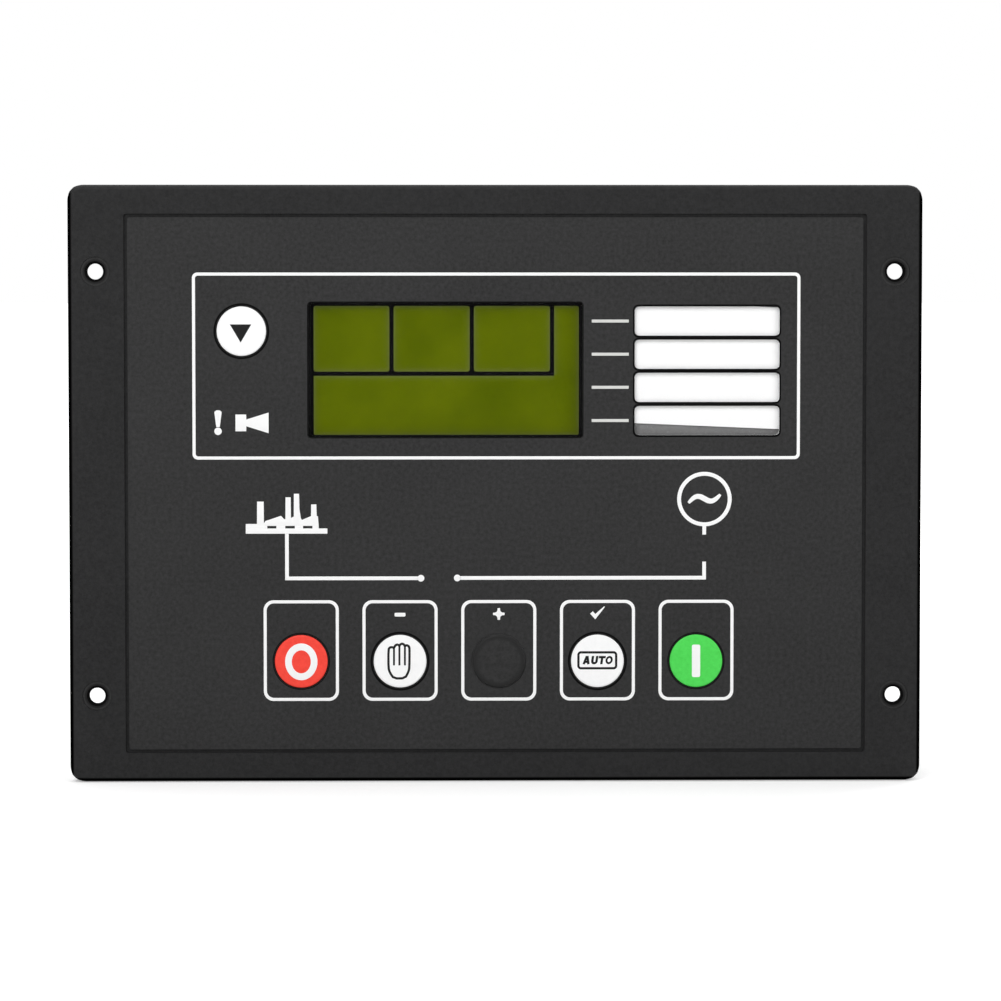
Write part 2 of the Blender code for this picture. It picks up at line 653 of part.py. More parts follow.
def make_display():
    """Lens, steel bezel, glass and light box, stacked on the display board."""
    centre = (LCD_X, LCD_Z)

    def sheet(width, height):
        return rectangle(width, height, LCD_WINDOW_CORNER)

    raised = sheet(LCD_WINDOW_WIDTH - 2 * FIT, LCD_WINDOW_HEIGHT - 2 * FIT)
    plate = sheet(LENS_WIDTH, LENS_HEIGHT)
    lens = [
        (FILM_FRONT, raised),
        (RECESS_FLOOR, raised),
        (RECESS_FLOOR, plate),
        (LENS_REAR, plate),
    ]
    piece("lcd_lens", [lens], CLEAR, centre)
    outer = sheet(BEZEL_WIDTH, BEZEL_HEIGHT)
    bezel = piece("lcd_bezel", [straight(BEZEL_FRONT, BEZEL_REAR, outer)], BLACK_STEEL, centre)
    sight = sheet(LCD_WINDOW_WIDTH - 2 * BEZEL_BORDER, LCD_WINDOW_HEIGHT - 2 * BEZEL_BORDER)
    hollow = sheet(BEZEL_INNER_WIDTH, BEZEL_INNER_HEIGHT)
    lip_rear = BEZEL_FRONT + BEZEL_WALL
    inside = [
        (BEZEL_FRONT - THROUGH, sight),
        (lip_rear, sight),
        (lip_rear, hollow),
        (BEZEL_REAR + THROUGH, hollow),
    ]
    cut(bezel, "bezel_inside", [inside])
    fill = sheet(BEZEL_INNER_WIDTH - 2 * FIT, BEZEL_INNER_HEIGHT - 2 * FIT)
    piece("lcd_glass", [straight(GLASS_FRONT, GLASS_REAR, fill)], LCD_GREEN, centre)
    eased = sheet(
        BEZEL_INNER_WIDTH - 2 * (FIT + LIGHT_CHAMFER), BEZEL_INNER_HEIGHT - 2 * (FIT + LIGHT_CHAMFER)
    )
    light = [
        (GLASS_REAR + FIT, fill),
        (BEZEL_REAR - LIGHT_CHAMFER, fill),
        (BEZEL_REAR, eased),
    ]
    piece("lcd_backlight", [light], LIGHT_BOX, centre)


def key_sections(diameter):
    """A key from its slightly bulged face to the stem that meets the switch button."""
    def ring(size):
        return circle(size, KEY_FACETS)

    top = FILM_FRONT - KEY_PROUD
    collar_rear = KEY_COLLAR_FRONT + KEY_COLLAR_DEPTH
    flat = diameter - 2 * KEY_EDGE
    sections = [(top - KEY_BULGE, ring(flat * 0.5)), (top, ring(flat))]
    for step in range(1, FILLET_STEPS):
        angle = step / (FILLET_STEPS - 1) * math.pi / 2
        size = flat + 2 * KEY_EDGE * math.sin(angle)
        sections.append((top + KEY_EDGE * (1 - math.cos(angle)), ring(size)))
    return sections + [
        (KEY_COLLAR_FRONT, ring(diameter)),
        (KEY_COLLAR_FRONT, ring(diameter + 2 * KEY_COLLAR)),
        (collar_rear, ring(diameter + 2 * KEY_COLLAR)),
        (collar_rear, ring(KEY_STEM_DIAMETER)),
        (KEY_STEM_REAR, ring(KEY_STEM_DIAMETER)),
    ]


def make_keys():
    """Six keys. Each slides along Y with the button of its switch, on an axis empty of its own."""
    for name, centre in KEY_CENTRES.items():
        axis = bpy.data.objects.new(f"{name}_axis", None)
        axis.location = (centre[0], 0, centre[1])
        axis.empty_display_size = KEY_DIAMETER
        bpy.context.scene.collection.objects.link(axis)
        key = piece(f"key_{name}", [key_sections(KEY_DIAMETERS[name])], KEY_LOOKS[name], smooth=True)
        button = circle(SWITCH_BUTTON_DIAMETER, SMALL_FACETS)
        plunger = piece(
            f"plunger_{name}", [straight(BUTTON_FRONT, BUTTON_REAR, button)], CHIP_BLACK, smooth=True
        )
        key.parent = axis
        plunger.parent = axis
        body = rectangle(SWITCH_SIDE, SWITCH_SIDE, SWITCH_CORNER, steps=1)
        switch = piece(
            f"switch_{name}", [straight(SWITCH_FRONT, SWITCH_REAR, body)], CHIP_BLACK, centre
        )
        bore = circle(SWITCH_BUTTON_DIAMETER + 2 * FIT, SMALL_FACETS)
        floor = SWITCH_REAR - SWITCH_CHAMBER_FLOOR
        cut(switch, f"chamber_{name}", [straight(SWITCH_FRONT - THROUGH, floor, bore)])


def make_lamps():
    """Two lamps on the display board, each behind its hole in the fascia."""
    for name, centre in LED_CENTRES.items():
        radius = LED_DIAMETER / 2
        tip = FILM_REAR + FIT
        foot = DISPLAY_BOARD_FRONT - FIT
        sections = []
        for step in range(1, FILLET_STEPS + 2):
            angle = step / (FILLET_STEPS + 1) * math.pi / 2
            depth = radius * (1 - math.cos(angle))
            sections.append((tip + depth, circle(LED_DIAMETER * math.sin(angle), SMALL_FACETS)))
        sections += [
            (foot - LED_FOOT_DEPTH, circle(LED_DIAMETER, SMALL_FACETS)),
            (foot - LED_FOOT_DEPTH, circle(LED_FOOT_DIAMETER, SMALL_FACETS)),
            (foot, circle(LED_FOOT_DIAMETER, SMALL_FACETS)),
        ]
        piece(f"led_{name}", [sections], LED_RED, centre, smooth=True)


def make_boards():
    """Both circuit boards, the pillars between them and the link that joins their circuits."""
    board = rectangle(BOARD_WIDTH, BOARD_HEIGHT, BOARD_CORNER)
    layers = {
        "display_board": (DISPLAY_BOARD_FRONT, PILLAR_STUD_DIAMETER),
        "main_board": (MAIN_BOARD_FRONT, SCREW_DIAMETER),
    }
    for name, (front, fastener) in layers.items():
        rear = front + BOARD_THICKNESS
        made = piece(name, [straight(front, rear, board)], BOARD_GREEN)
        holes = [
            straight(
                front - THROUGH,
                rear + THROUGH,
                circle(fastener + 2 * FIT, SMALL_FACETS, (side * PILLAR_X, up * PILLAR_Z)),
            )
            for side, up in CORNERS
        ]
        cut(made, f"{name}_holes", holes)
    front, rear = DISPLAY_BOARD_REAR + FIT, MAIN_BOARD_FRONT - FIT
    hexagon = circle(PILLAR_ACROSS_FLATS / math.cos(math.pi / 6), SMALL_FACETS // 2)
    stud = circle(PILLAR_STUD_DIAMETER, SMALL_FACETS)
    bore = circle(SCREW_DIAMETER + 2 * FIT, SMALL_FACETS)
    for number, (side, up) in enumerate(CORNERS, 1):
        place = (side * PILLAR_X, up * PILLAR_Z)
        pillar = piece(f"board_pillar_{number}", [straight(front, rear, hexagon)], BRASS, place)
        join(
            pillar,
            f"stud_{number}",
            [straight(DISPLAY_BOARD_REAR - PILLAR_STUD_REACH, front + THROUGH, stud)],
        )
        cut(pillar, f"bore_{number}", [straight(rear - PILLAR_BORE_DEPTH, rear + THROUGH, bore)])
    wide = rectangle(LINK_WIDTH, LINK_HEIGHT, LINK_STEP / 2, steps=1)
    narrow = rectangle(
        LINK_WIDTH - 2 * LINK_STEP, LINK_HEIGHT - 2 * LINK_STEP, LINK_STEP / 2, steps=1
    )
    link = [
        (front, wide),
        (front + LINK_SOCKET_DEPTH, wide),
        (front + LINK_SOCKET_DEPTH, narrow),
        (rear, narrow),
    ]
    piece("board_link", [link], CHIP_BLACK, (LINK_X, LINK_Z))


def make_components():
    """Relays, capacitors, choke and processor on the back of the main board."""
    base = MAIN_BOARD_REAR + FIT
    for i in range(RELAY_COUNT):
        full = rectangle(RELAY_WIDTH, RELAY_HEIGHT, RELAY_CORNER, steps=1)
        eased = rectangle(
            RELAY_WIDTH - 2 * RELAY_STEP, RELAY_HEIGHT - 2 * RELAY_STEP, RELAY_CORNER, steps=1
        )
        rear = base + RELAY_DEPTH
        relay = [(base, full), (rear - RELAY_STEP, full), (rear, eased)]
        piece(f"relay_{i + 1}", [relay], RELAY_BLUE, (RELAY_X + i * RELAY_PITCH, RELAY_Z))
    for i in range(CAPACITOR_COUNT):
        rear = base + CAPACITOR_DEPTH

        def ring(inset):
            return circle(CAPACITOR_DIAMETER - 2 * inset, 2 * FINE_FACETS)

        can = [
            (base, ring(CAPACITOR_EDGE)),
            (base + CAPACITOR_EDGE, ring(0)),
            (base + 2 * CAPACITOR_EDGE, ring(0)),
            (base + 3 * CAPACITOR_EDGE, ring(CAPACITOR_NECK)),
            (base + 4 * CAPACITOR_EDGE, ring(0)),
            (rear - CAPACITOR_EDGE, ring(0)),
            (rear, ring(CAPACITOR_EDGE)),
        ]
        place = (CAPACITOR_X + i * CAPACITOR_PITCH, CAPACITOR_Z)
        piece(f"capacitor_{i + 1}", [can], SLEEVE_BLACK, place, smooth=True)
    choke = bmesh.new()
    tube = bmesh.ops.create_circle(choke, segments=FINE_FACETS, radius=CHOKE_THICKNESS)
    bmesh.ops.translate(choke, verts=tube["verts"], vec=(CHOKE_RADIUS, 0, 0))
    bmesh.ops.spin(
        choke,
        geom=choke.verts[:] + choke.edges[:],
        cent=(0, 0, 0),
        axis=(0, 1, 0),
        angle=math.tau,
        steps=2 * FINE_FACETS,
        use_merge=True,
    )
    bmesh.ops.recalc_face_normals(choke, faces=choke.faces[:])
    spot = (CHOKE_X, base + CHOKE_THICKNESS, CAPACITOR_Z)
    finished("power_choke", choke, FERRITE, spot, smooth=True)
    wide = rectangle(PROCESSOR_SIDE, PROCESSOR_SIDE, PROCESSOR_DRAFT, steps=1)
    small = PROCESSOR_SIDE - 2 * PROCESSOR_DRAFT
    top = rectangle(small, small, PROCESSOR_DRAFT, steps=1)
    chip = [(base, wide), (base + PROCESSOR_DEPTH, top)]
    piece("processor", [chip], CHIP_BLACK, (PROCESSOR_X, PROCESSOR_Z))


def terminal_blocks():
    """Name, poles, pitch, centre X and row side of each terminal block."""
    lower = [("supply", SUPPLY_POLES), ("inputs", INPUT_POLES), ("current", CURRENT_POLES)]
    between = BLOCK_SPACING + 2 * BLOCK_END
    total = sum(poles for _, poles in lower) * POLE_PITCH + (len(lower) - 1) * between
    x = -total / 2
    blocks = []
    for name, poles in lower:
        length = poles * POLE_PITCH
        blocks.append((name, poles, POLE_PITCH, x + length / 2, -1))
        x += length + between
    return blocks + [("voltage", VOLTAGE_POLES, VOLTAGE_PITCH, VOLTAGE_X, 1)]


def make_header(name, length, place):
    """A shrouded pin header that stands on the main board."""
    wall = 2 * HEADER_WALL
    shell = box(HEADER_BASE, HEADER_REAR, length, HEADER_HEIGHT)
    header = piece(f"header_{name}", [shell], TERMINAL_GREEN, place)
    floor = HEADER_BASE + HEADER_FLOOR
    mouth = box(floor, HEADER_REAR + THROUGH, length - wall, HEADER_HEIGHT - wall)
    cut(header, f"mouth_{name}", [mouth])


def clamp_drills(name, spots):
    """One drill for each clamp screw of a plug, upright on the plug's outer side."""
    mesh = bmesh.new()
    for spot in spots:
        made = bmesh.ops.create_cone(
            mesh,
            cap_ends=True,
            segments=FINE_FACETS,
            radius1=CLAMP_HOLE_DIAMETER / 2,
            radius2=CLAMP_HOLE_DIAMETER / 2,
            depth=2 * CLAMP_HOLE_DEPTH,
        )
        bmesh.ops.translate(mesh, verts=made["verts"], vec=spot)
    return finished(f"clamp_holes_{name}", mesh, None, (0, 0, 0))


def make_plug(name, poles, pitch, place, up):
    """A screw-clamp plug: a nose inside the header and a body with one entry for each wire."""
    body_front = HEADER_REAR + FIT
    body_rear = body_front + PLUG_BODY_DEPTH
    half = poles * pitch / 2
    inner, outer = -up * PLUG_BODY_INNER, up * (PLUG_BODY_HEIGHT - PLUG_BODY_INNER)
    low, high = min(inner, outer), max(inner, outer)

    def slab(ease):
        bottom, top = low + ease, high - ease
        return [(half, top), (-half, top), (-half, bottom), (half, bottom)]

    body = [
        (body_front, slab(0)),
        (body_rear - PLUG_CHAMFER, slab(0)),
        (body_rear, slab(PLUG_CHAMFER)),
    ]
    plug = piece(f"plug_{name}", [body], TERMINAL_GREEN, place)
    nose = box(
        HEADER_BASE + HEADER_FLOOR + FIT,
        body_front + THROUGH,
        2 * (half + BLOCK_END - HEADER_WALL - FIT),
        HEADER_HEIGHT - 2 * (HEADER_WALL + FIT),
    )
    join(plug, f"nose_{name}", [nose])
    poles_x = [(i - (poles - 1) / 2) * pitch for i in range(poles)]
    entry_front, entry_rear = body_rear - WIRE_ENTRY_DEPTH, body_rear + THROUGH
    entries = [
        box(
            entry_front,
            entry_rear,
            WIRE_ENTRY_WIDTH,
            WIRE_ENTRY_HEIGHT,
            (x, up * WIRE_ENTRY_SHIFT),
        )
        for x in poles_x
    ]
    cut(plug, f"wire_entries_{name}", entries)
    clamps = [(x, body_rear - CLAMP_FROM_REAR, outer) for x in poles_x]
    combine(plug, "DIFFERENCE", clamp_drills(name, clamps))


def make_terminals():
    """Pin headers on the main board, each with its plug."""
    for name, poles, pitch, x, up in terminal_blocks():
        place = (x, up * ROW_Z)
        make_header(name, poles * pitch + 2 * BLOCK_END, place)
        make_plug(name, poles, pitch, place, up)


def make_socket():
    """The computer socket: a square block with a latched mouth that faces the back."""
    rear = HEADER_BASE + SOCKET_DEPTH
    body = rectangle(SOCKET_WIDTH, SOCKET_HEIGHT, PROCESSOR_DRAFT, steps=1)
    socket = piece(
        "pc_socket", [straight(HEADER_BASE, rear, body)], CHIP_BLACK, (SOCKET_X, ROW_Z)
    )
    floor = rear - SOCKET_MOUTH_DEPTH
    mouth = box(floor, rear + THROUGH, SOCKET_MOUTH_WIDTH, SOCKET_MOUTH_HEIGHT)
    cut(socket, "socket_mouth", [mouth])
    latch_top = SOCKET_MOUTH_HEIGHT / 2 + SOCKET_LATCH_HEIGHT
    latch = box(
        floor - FIT, rear + THROUGH, SOCKET_LATCH_WIDTH, latch_top, (0, latch_top / 2)
    )
    cut(socket, "socket_latch", [latch])


def vent_slots():
    """Two banks of slots in the back wall and one row in each long wall of the housing."""
    rear_slots = []
    for bank in (-1, 1):
        for i in range(VENT_COUNT):
            x = bank * VENT_BANK_X + (i - (VENT_COUNT - 1) / 2) * VENT_PITCH
            outline = rectangle(VENT_WIDTH, VENT_LENGTH, VENT_WIDTH / 2, (x, 0), steps=1)
            rear_slots.append(
                straight(HUMP_REAR - HOUSING_WALL - THROUGH, HUMP_REAR + THROUGH, outline)
            )
    wall_slots = []
    depth = HOUSING_WALL + HOUSING_DRAFT + 2 * THROUGH
    for up in (-1, 1):
        for i in range(WALL_VENT_COUNT):
            x = (i - (WALL_VENT_COUNT - 1) / 2) * WALL_VENT_PITCH
            z = up * (SPIGOT_HEIGHT / 2 + THROUGH - depth / 2)
            wall_slots.append(box(WALL_VENT_FROM, WALL_VENT_TO, VENT_WIDTH, depth, (x, z)))
    return rear_slots + wall_slots


def make_housing():
    """The moulded box: lower ledges for the connectors, a raised middle with vents, screw posts."""
    base = filleted(
        HOUSING_FRONT,
        LEDGE_REAR,
        SPIGOT_WIDTH,
        SPIGOT_HEIGHT,
        SPIGOT_CORNER,
        HOUSING_EDGE,
        HOUSING_DRAFT,
        at_rear=True,
    )
    housing = piece("rear_housing", [base], BLACK_PLASTIC)
    hump_front = LEDGE_REAR - HOUSING_WALL
    hump = filleted(
        hump_front,
        HUMP_REAR,
        HUMP_WIDTH,
        HUMP_HEIGHT,
        HUMP_CORNER,
        HOUSING_EDGE,
        HUMP_DRAFT,
        at_rear=True,
    )
    join(housing, "hump", [hump])
    wall = 2 * HOUSING_WALL
    inner_full = rectangle(SPIGOT_WIDTH - wall, SPIGOT_HEIGHT - wall, SPIGOT_CORNER / 2)
    taper = wall + 2 * HOUSING_DRAFT
    inner_rear = rectangle(SPIGOT_WIDTH - taper, SPIGOT_HEIGHT - taper, SPIGOT_CORNER / 2)
    room = [
        (HOUSING_FRONT - THROUGH, inner_full),
        (LEDGE_REAR - HOUSING_WALL, inner_rear),
    ]
    cut(housing, "room", [room])
    hump_wide = rectangle(HUMP_WIDTH - wall, HUMP_HEIGHT - wall, HUMP_CORNER - HOUSING_WALL)
    hump_taper = wall + 2 * HUMP_DRAFT
    hump_narrow = rectangle(
        HUMP_WIDTH - hump_taper, HUMP_HEIGHT - hump_taper, HUMP_CORNER - HOUSING_WALL
    )
    hump_room = [
        (hump_front - THROUGH, hump_wide),
        (HUMP_REAR - HOUSING_WALL, hump_narrow),
    ]
    cut(housing, "hump_room", [hump_room])

    lip_width, lip_height = INNER_WIDTH - 2 * FIT, INNER_HEIGHT - 2 * FIT
    lip_corner = SPIGOT_CORNER - SPIGOT_WALL
    lip = rectangle(lip_width, lip_height, lip_corner)
    lip_inner = rectangle(lip_width - 2 * LIP_WIDTH, lip_height - 2 * LIP_WIDTH, lip_corner / 2)
    lip_front, lip_rear = HOUSING_FRONT - LIP_REACH, HOUSING_FRONT + LIP_ROOT
    join(housing, "lip", [straight(lip_front, lip_rear, lip)])
    cut(
        housing,
        "lip_inside",
        [straight(lip_front - THROUGH, lip_rear + THROUGH, lip_inner)],
    )
    posts = [
        straight(
            MAIN_BOARD_REAR + FIT,
            LEDGE_REAR - HOUSING_WALL / 2,
            circle(POST_DIAMETER, SMALL_FACETS, (side * PILLAR_X, up * PILLAR_Z)),
        )
        for side, up in CORNERS
    ]
    join(housing, "posts", posts)

    holes = vent_slots()
    for side, up in CORNERS:
        spot = (side * PILLAR_X, up * PILLAR_Z)
        head = circle(SCREW_RECESS_DIAMETER, SMALL_FACETS, spot)
        shank = circle(SCREW_DIAMETER + 2 * FIT, SMALL_FACETS, spot)
        holes.append(
            [
                (MAIN_BOARD_REAR, shank),
                (SCREW_SEAT, shank),
                (SCREW_SEAT, head),
                (LEDGE_REAR + THROUGH, head),
            ]
        )
    wall_front, wall_rear = LEDGE_REAR - HOUSING_WALL - THROUGH, LEDGE_REAR + THROUGH
    for _, poles, pitch, x, up in terminal_blocks():
        length = poles * pitch + 2 * (BLOCK_END + HEADER_OPENING)
        height = HEADER_HEIGHT + 2 * HEADER_OPENING
        holes.append(box(wall_front, wall_rear, length, height, (x, up * ROW_Z)))
    socket_width = SOCKET_WIDTH + 2 * HEADER_OPENING
    socket_height = SOCKET_HEIGHT + 2 * HEADER_OPENING
    holes.append(box(wall_front, wall_rear, socket_width, socket_height, (SOCKET_X, ROW_Z)))
    cut(housing, "housing_holes", holes)


def make_screws():
    """Screws that pull the housing and the main board onto the pillars."""
    tip = MAIN_BOARD_FRONT - SCREW_ENGAGED
    under_head = SCREW_SEAT + FIT
    for number, (side, up) in enumerate(CORNERS, 1):
        def ring(diameter):
            return circle(diameter, SMALL_FACETS)

        edge = SCREW_HEAD_DEPTH / 2
        screw = [
            (tip, ring(SCREW_DIAMETER * 0.7)),
            (tip + SCREW_DIAMETER * 0.15, ring(SCREW_DIAMETER)),
            (under_head, ring(SCREW_DIAMETER)),
            (under_head, ring(SCREW_HEAD_DIAMETER)),
            (under_head + edge, ring(SCREW_HEAD_DIAMETER)),
            (under_head + SCREW_HEAD_DEPTH, ring(SCREW_HEAD_DIAMETER - 2 * edge)),
        ]
        place = (side * PILLAR_X, up * PILLAR_Z)
        piece(f"housing_screw_{number}", [screw], STEEL, place, smooth=True)


def main():
    for leftover in list(bpy.data.objects):
        bpy.data.objects.remove(leftover, do_unlink=True)
    make_fascia()
    make_overlay()
    make_display()
    make_keys()
    make_lamps()
    make_boards()
    make_components()
    make_terminals()
    make_socket()
    make_housing()
    make_screws()


main()
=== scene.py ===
"""Looks of the panel-mounted generator set controller.

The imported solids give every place. This script adds the camera, the floor and the light,
the printed overlay, the key caps, the display and the fittings at the back, and gives each
piece its finish. Metres, +Z up, front towards -Y.
"""

import math

import bmesh
import bpy
import numpy as np
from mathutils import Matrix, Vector


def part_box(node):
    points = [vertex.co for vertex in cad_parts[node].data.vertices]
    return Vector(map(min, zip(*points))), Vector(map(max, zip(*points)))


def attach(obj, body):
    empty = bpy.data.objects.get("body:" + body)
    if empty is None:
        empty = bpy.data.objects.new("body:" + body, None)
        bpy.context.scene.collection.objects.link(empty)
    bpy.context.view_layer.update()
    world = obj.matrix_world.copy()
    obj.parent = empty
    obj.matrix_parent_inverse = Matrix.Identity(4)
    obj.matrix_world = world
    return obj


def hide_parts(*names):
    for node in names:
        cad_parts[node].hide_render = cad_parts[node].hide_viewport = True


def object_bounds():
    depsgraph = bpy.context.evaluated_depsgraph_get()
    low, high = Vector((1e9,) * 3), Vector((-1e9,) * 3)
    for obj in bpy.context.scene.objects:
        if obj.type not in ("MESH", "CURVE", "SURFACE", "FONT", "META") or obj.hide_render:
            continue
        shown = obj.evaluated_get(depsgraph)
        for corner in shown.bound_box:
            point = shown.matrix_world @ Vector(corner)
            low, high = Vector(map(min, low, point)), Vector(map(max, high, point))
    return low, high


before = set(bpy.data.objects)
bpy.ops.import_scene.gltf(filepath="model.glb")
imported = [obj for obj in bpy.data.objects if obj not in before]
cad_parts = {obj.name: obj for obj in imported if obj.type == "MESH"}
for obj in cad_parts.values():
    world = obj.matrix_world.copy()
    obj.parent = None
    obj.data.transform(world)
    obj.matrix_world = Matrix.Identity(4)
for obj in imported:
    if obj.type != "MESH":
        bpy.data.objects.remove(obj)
cad_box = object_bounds()

MM = 0.001

# Ink and film thicknesses
INK = 0.03 * MM
INK_SUNK = 0.01 * MM
INK_SHOULDER = 0.04 * MM

# Widest easing between the facets of a round form
FACET_EASE = 0.7 * MM

# Camera, from a fit to the corners, holes and print of the photograph
CAMERA_DISTANCE = 1.2
CAMERA_AZIMUTH = math.radians(-0.958)
CAMERA_ELEVATION = math.radians(3.290)
CAMERA_TARGET = Vector((0.00135, -0.008, -0.00464))
CAMERA_LENS = 153.35

# Strength of the world's light on the object
AMBIENT = 0.35

# Floor: its side, its gap under the flange, and the ring over which its glow grows
FLOOR_SIDE = 24.0
FLOOR_GAP = 0.2 * MM
FLOOR_RING = (0.3, 1.3)
FLOOR_GLOW = (0.32, 1.2)

# Soft square lights that face the middle: place, side and power
LIGHTS = {
    "light_front": ((-0.55, -1.5, 1.05), 1.1, 16.0),
    "light_side": ((1.3, -1.2, 0.6), 0.9, 7.0),
    "light_top": ((-0.1, 0.15, 1.3), 1.2, 9.0),
    "light_back": ((0.9, 1.5, 0.9), 1.1, 14.0),
}

# Display window and the lines between its cells, in millimetres
LCD_LEFT, LCD_RIGHT = -52.66, 24.42
LCD_BOTTOM, LCD_TOP = 13.15, 51.05
GREEN_LEFT, GREEN_RIGHT = -51.2, 23.46
GREEN_BOTTOM, GREEN_TOP = 13.67, 50.04
CELL_LINES_X = (-29.29, -6.68, 15.92)
CELL_LINE_Z = 30.96
CELL_LINE = 1.2
CELL_CORNER = 0.75

# Black mask round the cells: its inset from the glass, which is its corner radius too
MASK_INSET = 0.3

# Pale rim of each display field: how far it reaches in millimetres, and its share
RIM_REACH = 0.5
RIM_SHARE = 0.8

# Legend windows, in millimetres
WINDOW_X = 59.43
WINDOWS_Z = (45.81, 36.485, 27.18, 17.835)
WINDOW_SIZE = (40.75, 8.2)

# Print, in millimetres: frames as centre, width, height and corner radius
FRAME_LINE = 0.86
LARGE_FRAME = ((0.24, 33.185), 170.82, 52.49, 1.5)
KEY_FRAME_Z = -46.98
KEY_FRAME_SIZE = (21.17, 28.46, 2.75)
TICKS_Z = (45.81, 36.5, 27.2, 17.85)
TICK_FROM, TICK_TO, TICK_LINE = 27.0, 37.4, 0.83

# Line diagram: the works and its line on the left, the generator and its line on the right
DIAGRAM_LINE = 1.04
DOT_RADIUS = 0.95
WORKS_X, WORKS_Z = -70.31, -13.95
MAINS_X, MAINS_Z, MAINS_END = -58.76, -26.56, -21.9
LOAD_X, LOAD_Z, LOAD_END = 58.77, -26.5, -10.0
GENERATOR_PLACE, GENERATOR_RADIUS = (58.8, -4.3), 7.68
LAMP_TOP, LAMP_BOTTOM = -14.33, -21.96

# Warning sign and horn, and the marks above the keys
WARNING_X, WARNING_Z = -78.0, 16.1
HORN_Z = 17.25
MARKS_Z = -36.85

# Keys, and the record's slot of each
KEY_SLOTS = {
    "scroll": "key_white", "stop": "key_red", "manual": "key_white",
    "test": "key_black", "auto": "key_white", "start": "key_green",
}

# Form of a key: its collar's width, front, depth and easing, and its stem
KEY_COLLAR = 1.2 * MM
KEY_COLLAR_FRONT = -3.7 * MM
KEY_COLLAR_DEPTH = 1.2 * MM
KEY_COLLAR_EASE = 0.15 * MM
KEY_STEM = 1.8 * MM

# Cap of a key: how far it stands proud of the film, its dome and edge, and its flare
KEY_PROUD = 0.4 * MM
CAP_RISE = 0.11 * MM
CAP_EDGE = 0.55 * MM
KEY_FLARE = 0.2 * MM

# Black ring of painted shade round a key, where its gap lies: its distance from the cap, and its
# line, wide round a white key
KEY_OPENING = 0.33 * MM
KEY_RING_WIDE, KEY_RING_NARROW = 0.5 * MM, 0.25 * MM

# Screw holes: their place from the middle, and the radii of their painted shade, chamfer and seat
HOLES_AT = (112.3 * MM, 59.7 * MM)
HOLE_REACH = 5.0 * MM
CHAMFER_RADIUS = 3.1 * MM
SEAT_RADIUS = 4.1 * MM

# Rounded edge of the flange, with painted shade: the width of the painted shade, how much of it is
# black, its rear end
EDGE_SHADE = 1.3 * MM
EDGE_BLACK = 0.75 * MM
EDGE_REAR = -5.0 * MM

# Points round a turned form and round a ring
ROUND_STEPS = 96

# Terminal blocks: poles and the pitch between them
TERMINALS = (
    ("supply", 8, 5.08 * MM), ("inputs", 11, 5.08 * MM),
    ("current", 5, 5.08 * MM), ("voltage", 4, 7.62 * MM),
)

# Contacts of the computer socket
CONTACTS = 8
CONTACT_PITCH = 1.02 * MM
CONTACT_RADIUS = 0.17 * MM


# Outlines in the plane of the panel: arrays of (x, z) in metres


def unit(vectors):
    """Each vector divided by its length."""
    return vectors / np.linalg.norm(vectors, axis=-1, keepdims=True)


def millimetres(*points):
    """Plan points given in millimetres, as an array in metres."""
    return np.array(points, float) * MM


def rounded_rectangle(centre, width, height, radius, steps=8):
    """Four quarter circles of the given radius, about the corners of the inset rectangle."""
    quarter = np.arange(4)[:, None]
    angle = (quarter + np.linspace(0, 1, steps + 1)[None, :]) * math.pi / 2
    side = np.array([1, -1, -1, 1])[:, None]
    up = np.array([1, 1, -1, -1])[:, None]
    x = centre[0] + side * (width / 2 - radius) + radius * np.cos(angle)
    z = centre[1] + up * (height / 2 - radius) + radius * np.sin(angle)
    return np.stack([x, z], axis=-1).reshape(-1, 2)


def rectangle_between(left, right, bottom, top, radius):
    """The rounded rectangle between four limits, all in millimetres."""
    centre = ((left + right) / 2 * MM, (bottom + top) / 2 * MM)
    return rounded_rectangle(centre, (right - left) * MM, (top - bottom) * MM, radius * MM)


def ellipse(centre, width, height, steps=72):
    """x = width / 2 cos a and z = height / 2 sin a about the centre, once round."""
    angle = np.linspace(0, math.tau, steps, endpoint=False)
    plan = np.stack([np.cos(angle) * width / 2, np.sin(angle) * height / 2], axis=-1)
    return plan + np.array(centre)


def stroke(points, width, closed=False):
    """The two edges of a line of the given width, mitred where it turns.

    Each point moves sideways along the mean normal of its two runs, by half the width
    divided by the cosine of half the turn.
    """
    points = np.asarray(points, float)
    if closed:
        before, after = np.roll(points, 1, axis=0), np.roll(points, -1, axis=0)
    else:
        before = np.vstack([2 * points[:1] - points[1:2], points[:-1]])
        after = np.vstack([points[1:], 2 * points[-1:] - points[-2:-1]])
    arriving, leaving = unit(points - before), unit(after - points)
    along = unit(arriving + leaving)
    sideways = np.stack([-along[:, 1], along[:, 0]], axis=-1)
    reach = np.asarray(width) / 2 / np.maximum(np.sum(along * arriving, axis=1), 0.4)
    offset = sideways * reach[:, None]
    return points + offset, points - offset


def softened(points):
    """A closed outline with its corners cut: two points a side, at a quarter and three quarters."""
    points = np.asarray(points, float)
    after = np.roll(points, -1, axis=0)
    pairs = np.stack([0.75 * points + 0.25 * after, 0.25 * points + 0.75 * after], axis=1)
    return pairs.reshape(-1, 2)


